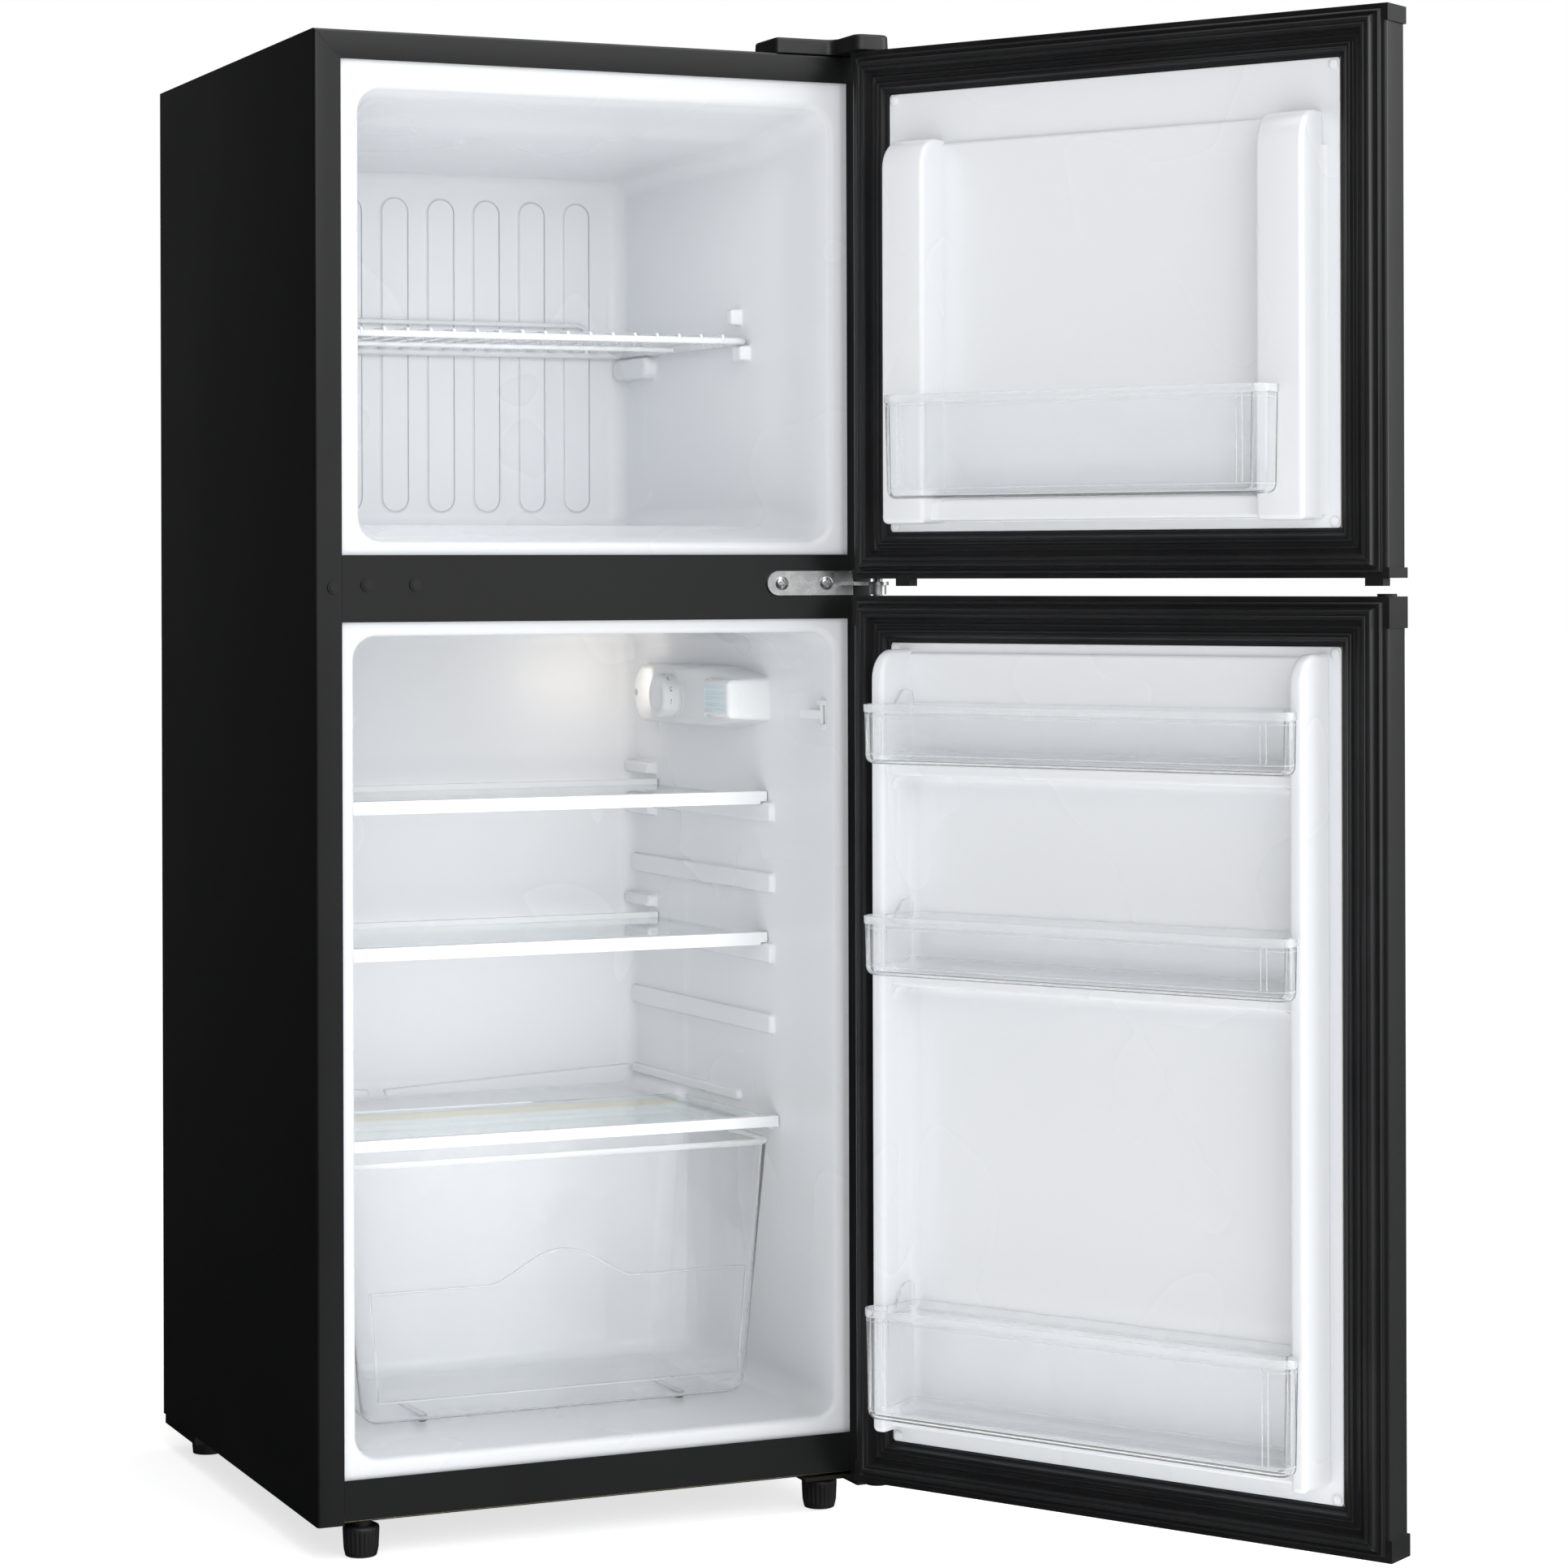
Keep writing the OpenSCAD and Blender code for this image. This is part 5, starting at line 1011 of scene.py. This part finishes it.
piece("cabinet_wrapper", [wrapper()], "cabinet", "cabinet_paint", ["cabinet_shell"], crease=50)
# Thin dark tubes in black rubber over the mitres: painted shade for the shadow in the mitre gaps.
piece("mitre_seam_shade", mitre_shade_lines(), "cabinet", "black_rubber")

# %% [markdown]
# ## Control housing, dial and lamp cover
#
# On the right wall sits one white housing for the thermostat and the lamp. Its nose narrows towards
# the mouth, its rear end is round, and a screw holds it there. The dial is a plain turned cup with
# numbers round its side, and the lamp cover is a deep soft-edged box of translucent plastic.
#
# %% Housing, with a collar, a pointer mark and its screw
def from_right(y, z, h):
    """Carries (depth, height, rise) onto a plane at x 205, rising towards the middle."""
    return np.stack([205 - h, y, z], -1)


CONTROL_Z = 639.0
DIAL_Y, DIAL_Z, DIAL_R = 276, 638, 19.5
housing_plan = [(124, CONTROL_Z - 18), (186, CONTROL_Z - 27), (371, CONTROL_Z - 27), (371, CONTROL_Z + 27),
                (186, CONTROL_Z + 27), (124, CONTROL_Z + 18)]
housing = [pad(housing_plan, [5, 30, 26.5, 26.5, 30, 5], 5, 33, 1.0, 5.0, 0.06, from_right, 8)]
collar = [(20.4, 0.5), (20.4, 0.2), (22.6, 0.2), (23.4, -0.6), (23.6, -2), (20.4, -2)]
housing.append(turned([(r, 171.9 - h) for r, h in collar], (0, DIAL_Y, DIAL_Z), "x", 56))
mark = np.radians(np.linspace(150, 200, 14))
mark_r = 27.5
arc = np.stack([0 * mark + 171.95, DIAL_Y + mark_r * np.cos(mark), DIAL_Z - mark_r * np.sin(mark)], -1)
housing.append(tube(arc, 0.55, 8))
piece("control_housing", housing, "cabinet", "white_trim", ["thermostat_housing"], crease=45)

# %% Cross-head screws
def cross_screw(centre, facing_axis, r, rise):
    """Pan head on a polar grid: the height is a dome less a cross-shaped recess with soft sides."""
    rad = np.concatenate([np.linspace(0.04, 0.6, 15), np.linspace(0.66, 1, 7)]) * r
    a = np.linspace(0, 2 * math.pi, 64, endpoint=False)
    x, y = rad[:, None] * np.cos(a), rad[:, None] * np.sin(a)
    dome = rise * np.sqrt(np.clip(1 - (rad[:, None] / r * 0.96) ** 2.6, 0, 1)) + 0 * a
    arm = 0.13 * r
    cross = np.maximum(ramp(-np.abs(x), -arm * 1.5, -arm * 0.8), ramp(-np.abs(y), -arm * 1.5, -arm * 0.8))
    dome = dome - 0.75 * rise * cross * ramp(-rad[:, None], -0.62 * r, -0.45 * r)
    rings = np.stack([x, y, dome], -1)
    rings = np.concatenate([rings, rings[-1:] * [1, 1, 0] - [0, 0, 0.4]])
    order = {"x": (2, 0, 1), "y": (0, 2, 1), "z": (0, 1, 2)}[facing_axis]
    sign = {"x": (-1, 1, 1), "y": (1, -1, 1), "z": (1, 1, 1)}[facing_axis]
    return skin(rings[..., order] * sign + np.asarray(centre, float))


zinc_screws = [cross_screw((x, -2.5, 738.5), "y", 5.6, 2.8) for x in (157.5, 197.6)]
zinc_screws += [cross_screw((x, 26, 1177.5), "z", 5.4, 2.6) for x in (183.5, 219.5)]
zinc_screws.append(cross_screw((172.4, 362, 639), "x", 3.2, 1.4))
piece("cross_head_screws", zinc_screws, "cabinet", "zinc", ["hinge_screws"], crease=60)

# %% Dial with its numbers
def numeral(character, size):
    """A digit as flat points and faces: text made a mesh, centred, in millimetres."""
    words = bpy.data.curves.new("digit", "FONT")
    words.body, words.size, words.extrude = character, size, 0.12
    words.align_x = words.align_y = "CENTER"
    holder = bpy.data.objects.new("digit", words)
    bpy.context.scene.collection.objects.link(holder)
    mesh = holder.to_mesh()
    points = np.zeros(len(mesh.vertices) * 3)
    mesh.vertices.foreach_get("co", points)
    faces = [np.array(p.vertices[:]) for p in mesh.polygons]
    holder.to_mesh_clear()
    bpy.data.objects.remove(holder)
    bpy.data.curves.remove(words)
    return points.reshape(-1, 3), faces


def round_dial(points, angle):
    """Wraps a flat digit round the dial's side: across becomes an angle, up runs along the axis."""
    turn = angle + points[:, 1] / DIAL_R
    r = DIAL_R + points[:, 2] * 0.9
    return np.stack([163.8 - points[:, 0], DIAL_Y - r * np.cos(turn), DIAL_Z + r * np.sin(turn)], -1)


dial_profile = [(0.2, 178), (4, 178), (4, 172.6), (18.7, 172.6), (19.3, 172.2), (DIAL_R, 171.6)]
dial_profile.append((DIAL_R, 160.2))
dial_profile += [(DIAL_R - 3.4 * (1 - math.cos(t)), 160.2 - 3.4 * math.sin(t)) for t in quarter(5)[1:]]
dial_profile += [(14.0, 156.8), (12.6, 157.0), (11.6, 157.5), (11.2, 157.55), (0.2, 157.55)]
cup = turned(dial_profile, (0, DIAL_Y, DIAL_Z), "x", 72)
piece("dial_cup", [cup], "dial", "white_trim", ["thermostat_dial"], crease=40)
digits = []
for i, character in enumerate("1234567"):
    flat, faces = numeral(character, 6.4)
    digits.append((round_dial(flat, math.radians(-14 + 33 * i)), faces))
piece("dial_numbers", digits, "dial", "grey_plastic")

# %% Lamp cover
cover_half, rib_half = 17.6, 1.3
outline = box_corners(125, 185.5, CONTROL_Z - cover_half, CONTROL_Z + cover_half)
cover = pad(outline, 4, 6, 41.8, 0.3, 4.5, 0.03, from_right, 6)
cover_ribs = [slab(box_corners(134, 178, z - rib_half, z + rib_half), 1.2, 40.6, 42.0, 0.4, from_right, 4)
              for z in CONTROL_Z + np.linspace(-10, 10, 5)]
piece("lamp_cover_box", [cover] + cover_ribs, "cabinet", "lamp_cover", ["lamp_cover"], crease=45)

# %% [markdown]
# ## Top hinge cover and feet
#
# The black cover over the top hinge is two rounded plates in one: a wide one on the roof and a nose
# over the pin. The levelling feet are turned caps with grips for the fingers, and a radius that
# changes with the angle makes the grips without a single extra part.
#
# %% Hinge cover and grips
cover_plan = [(154, -0.5), (206, -0.5), (206, -44.5), (238.6, -44.5), (238.6, 47.5), (154, 47.5)]
hinge_cover = [pad(cover_plan, [5, 7, 9, 9, 6, 6], 1176.2, 1188, 0.05, 2.6, 0.05, upright, 6)]
hinge_cover.append(slab([(160, 6), (232, 6), (232, 41), (160, 41)], 4, 1187.6, 1188.05, 0.2, upright, 4))
piece("top_hinge_shroud", hinge_cover, "cabinet", "black_plastic", ["top_hinge_cover"], crease=40)


def gripped_foot(x):
    """Foot cap: radius r(angle, height) with 22 soft grips between two plain bands, neck above it."""
    h = np.array([-28.9, -28.9, -28.6, -27.4, -25, -22, -12, -9, -7, -5.4, -4.6, -4.5, -4.4, -0.4, -0.4])
    r = np.array([0.2, 11.8, 12.4, 12.8, 13.4, 14.0, 14.5, 14.6, 14.6, 14.1, 12.9, 9.4, 8.5, 8.5, 0.2])
    grip = ramp(h, -26, -23) * (1 - ramp(h, -10, -8))
    a = np.linspace(0, 2 * math.pi, 132, endpoint=False)
    radius = r[:, None] - 0.9 * grip[:, None] * (0.5 + 0.5 * np.cos(22 * a)) ** 2
    rings = np.stack([x + radius * np.cos(a), 19.6 + radius * np.sin(a), h[:, None] + 0 * a], -1)
    return skin(rings)


for side, sign in (("left", -1), ("right", 1)):
    stud = turned([(0.2, -0.6), (4, -0.6), (4, 24), (0.2, 24.6)], (sign * 198.6, 19.6, 0), "z", 24)
    piece(f"{side}_foot_cap", [gripped_foot(sign * 198.6), stud], f"{side}_foot", "black_plastic",
          [f"front_{side}_foot"], crease=40)

# %% [markdown]
# ## Floor, light and camera
#
# A catalogue picture of a black appliance is lit by large white surfaces: a bright front, a darker
# back and side so that the black sheet falls off to black, and a pale floor that melts into the
# background. Three soft panels and a graded sky do that; small lamps would leave hard spots. Two weak
# panels in the mouths of the cavities fill their shadows, and a small warm one stands for the lamp.
# The camera stands at a low chest height, well to the left, with a long lens.
#
# %% Floor
def pale_floor():
    """Grid of radius r and angle a, each ring 1.6 times the last: fine under the object, wide at the rim."""
    r = 0.4 * 1.6 ** np.arange(11)
    a = np.linspace(0, 2 * math.pi, 64, endpoint=False)
    rings = np.stack([r[:, None] * np.cos(a), r[:, None] * np.sin(a), 0 * r[:, None] + 0 * a - 0.0005], -1)
    mesh = bpy.data.meshes.new("floor")
    mesh.from_pydata(rings.reshape(-1, 3).tolist(), [], [list(f) for f in quads(11, 64)] + [list(range(64))])
    paint, shader = recipe("floor_paint", (0.9, 0.9, 0.9), (0.885, 0.885, 0.885), 0.7, 0.1, 200, 0.0,
                           clouds=2, dust=0.0)
    shader.inputs["Emission Color"].default_value = (1, 1, 1, 1)
    shader.inputs["Emission Strength"].default_value = 0.72
    mesh.materials.append(paint)
    floor = bpy.data.objects.new("floor", mesh)
    bpy.context.scene.collection.objects.link(floor)
    floor.visible_glossy = False


pale_floor()

# %% Sky and lamps
def sky():
    """White to the camera. To everything else a grade along the view direction: bright in front and
    above, dark behind and to the left, so that black sheet stays black."""
    world = bpy.data.worlds.new("studio")
    bpy.context.scene.world = world
    world.use_nodes = True
    tree = world.node_tree
    tree.nodes.clear()
    way = put(tree, "SeparateXYZ", {}, Vector=put(tree, "TexCoord").outputs["Generated"])
    front = spread(tree, way.outputs[1], -0.55, 0.6, 1.0, 0.10)
    side = spread(tree, way.outputs[0], -0.75, 0.4, 0.03, 1.55)
    shade = sums(tree, "MULTIPLY", front, side)
    above = spread(tree, way.outputs[2], -0.2, 0.3, 0.12, 1.0)
    shade = sums(tree, "MULTIPLY", shade, above)
    dim = put(tree, "Background", {}, Color=(0.985, 0.992, 1.0, 1), Strength=shade).outputs[0]
    white = put(tree, "Background", {}, Color=(1, 1, 1, 1), Strength=1.0).outputs[0]
    seen = put(tree, "LightPath").outputs["Is Camera Ray"]
    mix = put(tree, "MixShader", {}, _0=seen, _1=dim, _2=white).outputs[0]
    tree.links.new(mix, put(tree, "OutputWorld").inputs[0])


def panel(name, at, towards, size, power, colour=(1, 1, 1)):
    """Rectangular soft light that faces a point. size is in metres, power in watts."""
    from mathutils import Vector
    data = bpy.data.lights.new(name, "AREA")
    data.shape, data.size, data.size_y, data.energy, data.color = "RECTANGLE", size[0], size[1], power, colour
    lamp = bpy.data.objects.new(name, data)
    bpy.context.scene.collection.objects.link(lamp)
    ray = Vector(np.array(towards, float) - np.array(at, float))
    lamp.location, lamp.rotation_euler = at, ray.to_track_quat("-Z", "Y").to_euler()
    return lamp


sky()
panel("front_panel", (-0.9, -3.6, 2.3), (0.1, 0, 0.6), (2.6, 2.2), 29)
panel("right_panel", (2.6, -1.8, 1.6), (0.1, -0.2, 0.6), (1.4, 2.0), 20)
panel("top_panel", (0.1, -0.6, 3.2), (0.1, 0, 0), (2.4, 1.8), 20)
for name, z, height, power in (("fridge_glow", 0.40, 0.60, 0.36), ("freezer_glow", 0.98, 0.28, 0.17)):
    glow = panel(name, (0.0, -0.205, z), (0.0, 0.2, z), (0.34, height), power)
    glow.data.spread = 1.7
    glow.visible_camera = glow.visible_glossy = glow.visible_transmission = False
glow = panel("warm_lamp", (0.135, 0.085, 0.675), (0.13, 0.18, 0.69), (0.06, 0.03), 0.026, (1.0, 0.86, 0.72))
glow.visible_camera = glow.visible_glossy = False

# %% Camera
def camera(at, turn, tilt, roll, focal, drop):
    """Camera at a point: turned right from +Y, tilted down and rolled, all in radians. Its three axes
    are worked out and set as a matrix. drop shifts the frame down in frame widths."""
    from mathutils import Matrix
    ahead = np.array([math.sin(turn) * math.cos(tilt), math.cos(turn) * math.cos(tilt), -math.sin(tilt)])
    right = np.cross(ahead, [0, 0, 1])
    right /= np.linalg.norm(right)
    up = np.cross(right, ahead)
    c, s = math.cos(roll), math.sin(roll)
    data = bpy.data.cameras.new("camera")
    data.lens, data.sensor_width, data.shift_x, data.shift_y = focal, 36, 0.0004, drop
    data.clip_start, data.clip_end = 0.05, 100
    thing = bpy.data.objects.new("camera", data)
    bpy.context.scene.collection.objects.link(thing)
    axes = np.stack([c * right + s * up, -s * right + c * up, -ahead], 1)
    matrix = np.eye(4)
    matrix[:3, :3], matrix[:3, 3] = axes, at
    thing.matrix_world = Matrix(matrix.tolist())
    bpy.context.scene.camera = thing
    return thing


camera((-1.1465, -3.2254, 0.7779), 0.4118128, 0.000587, -0.0028186, 91.067, -0.13466)
bpy.context.scene.view_settings.view_transform = "Standard"
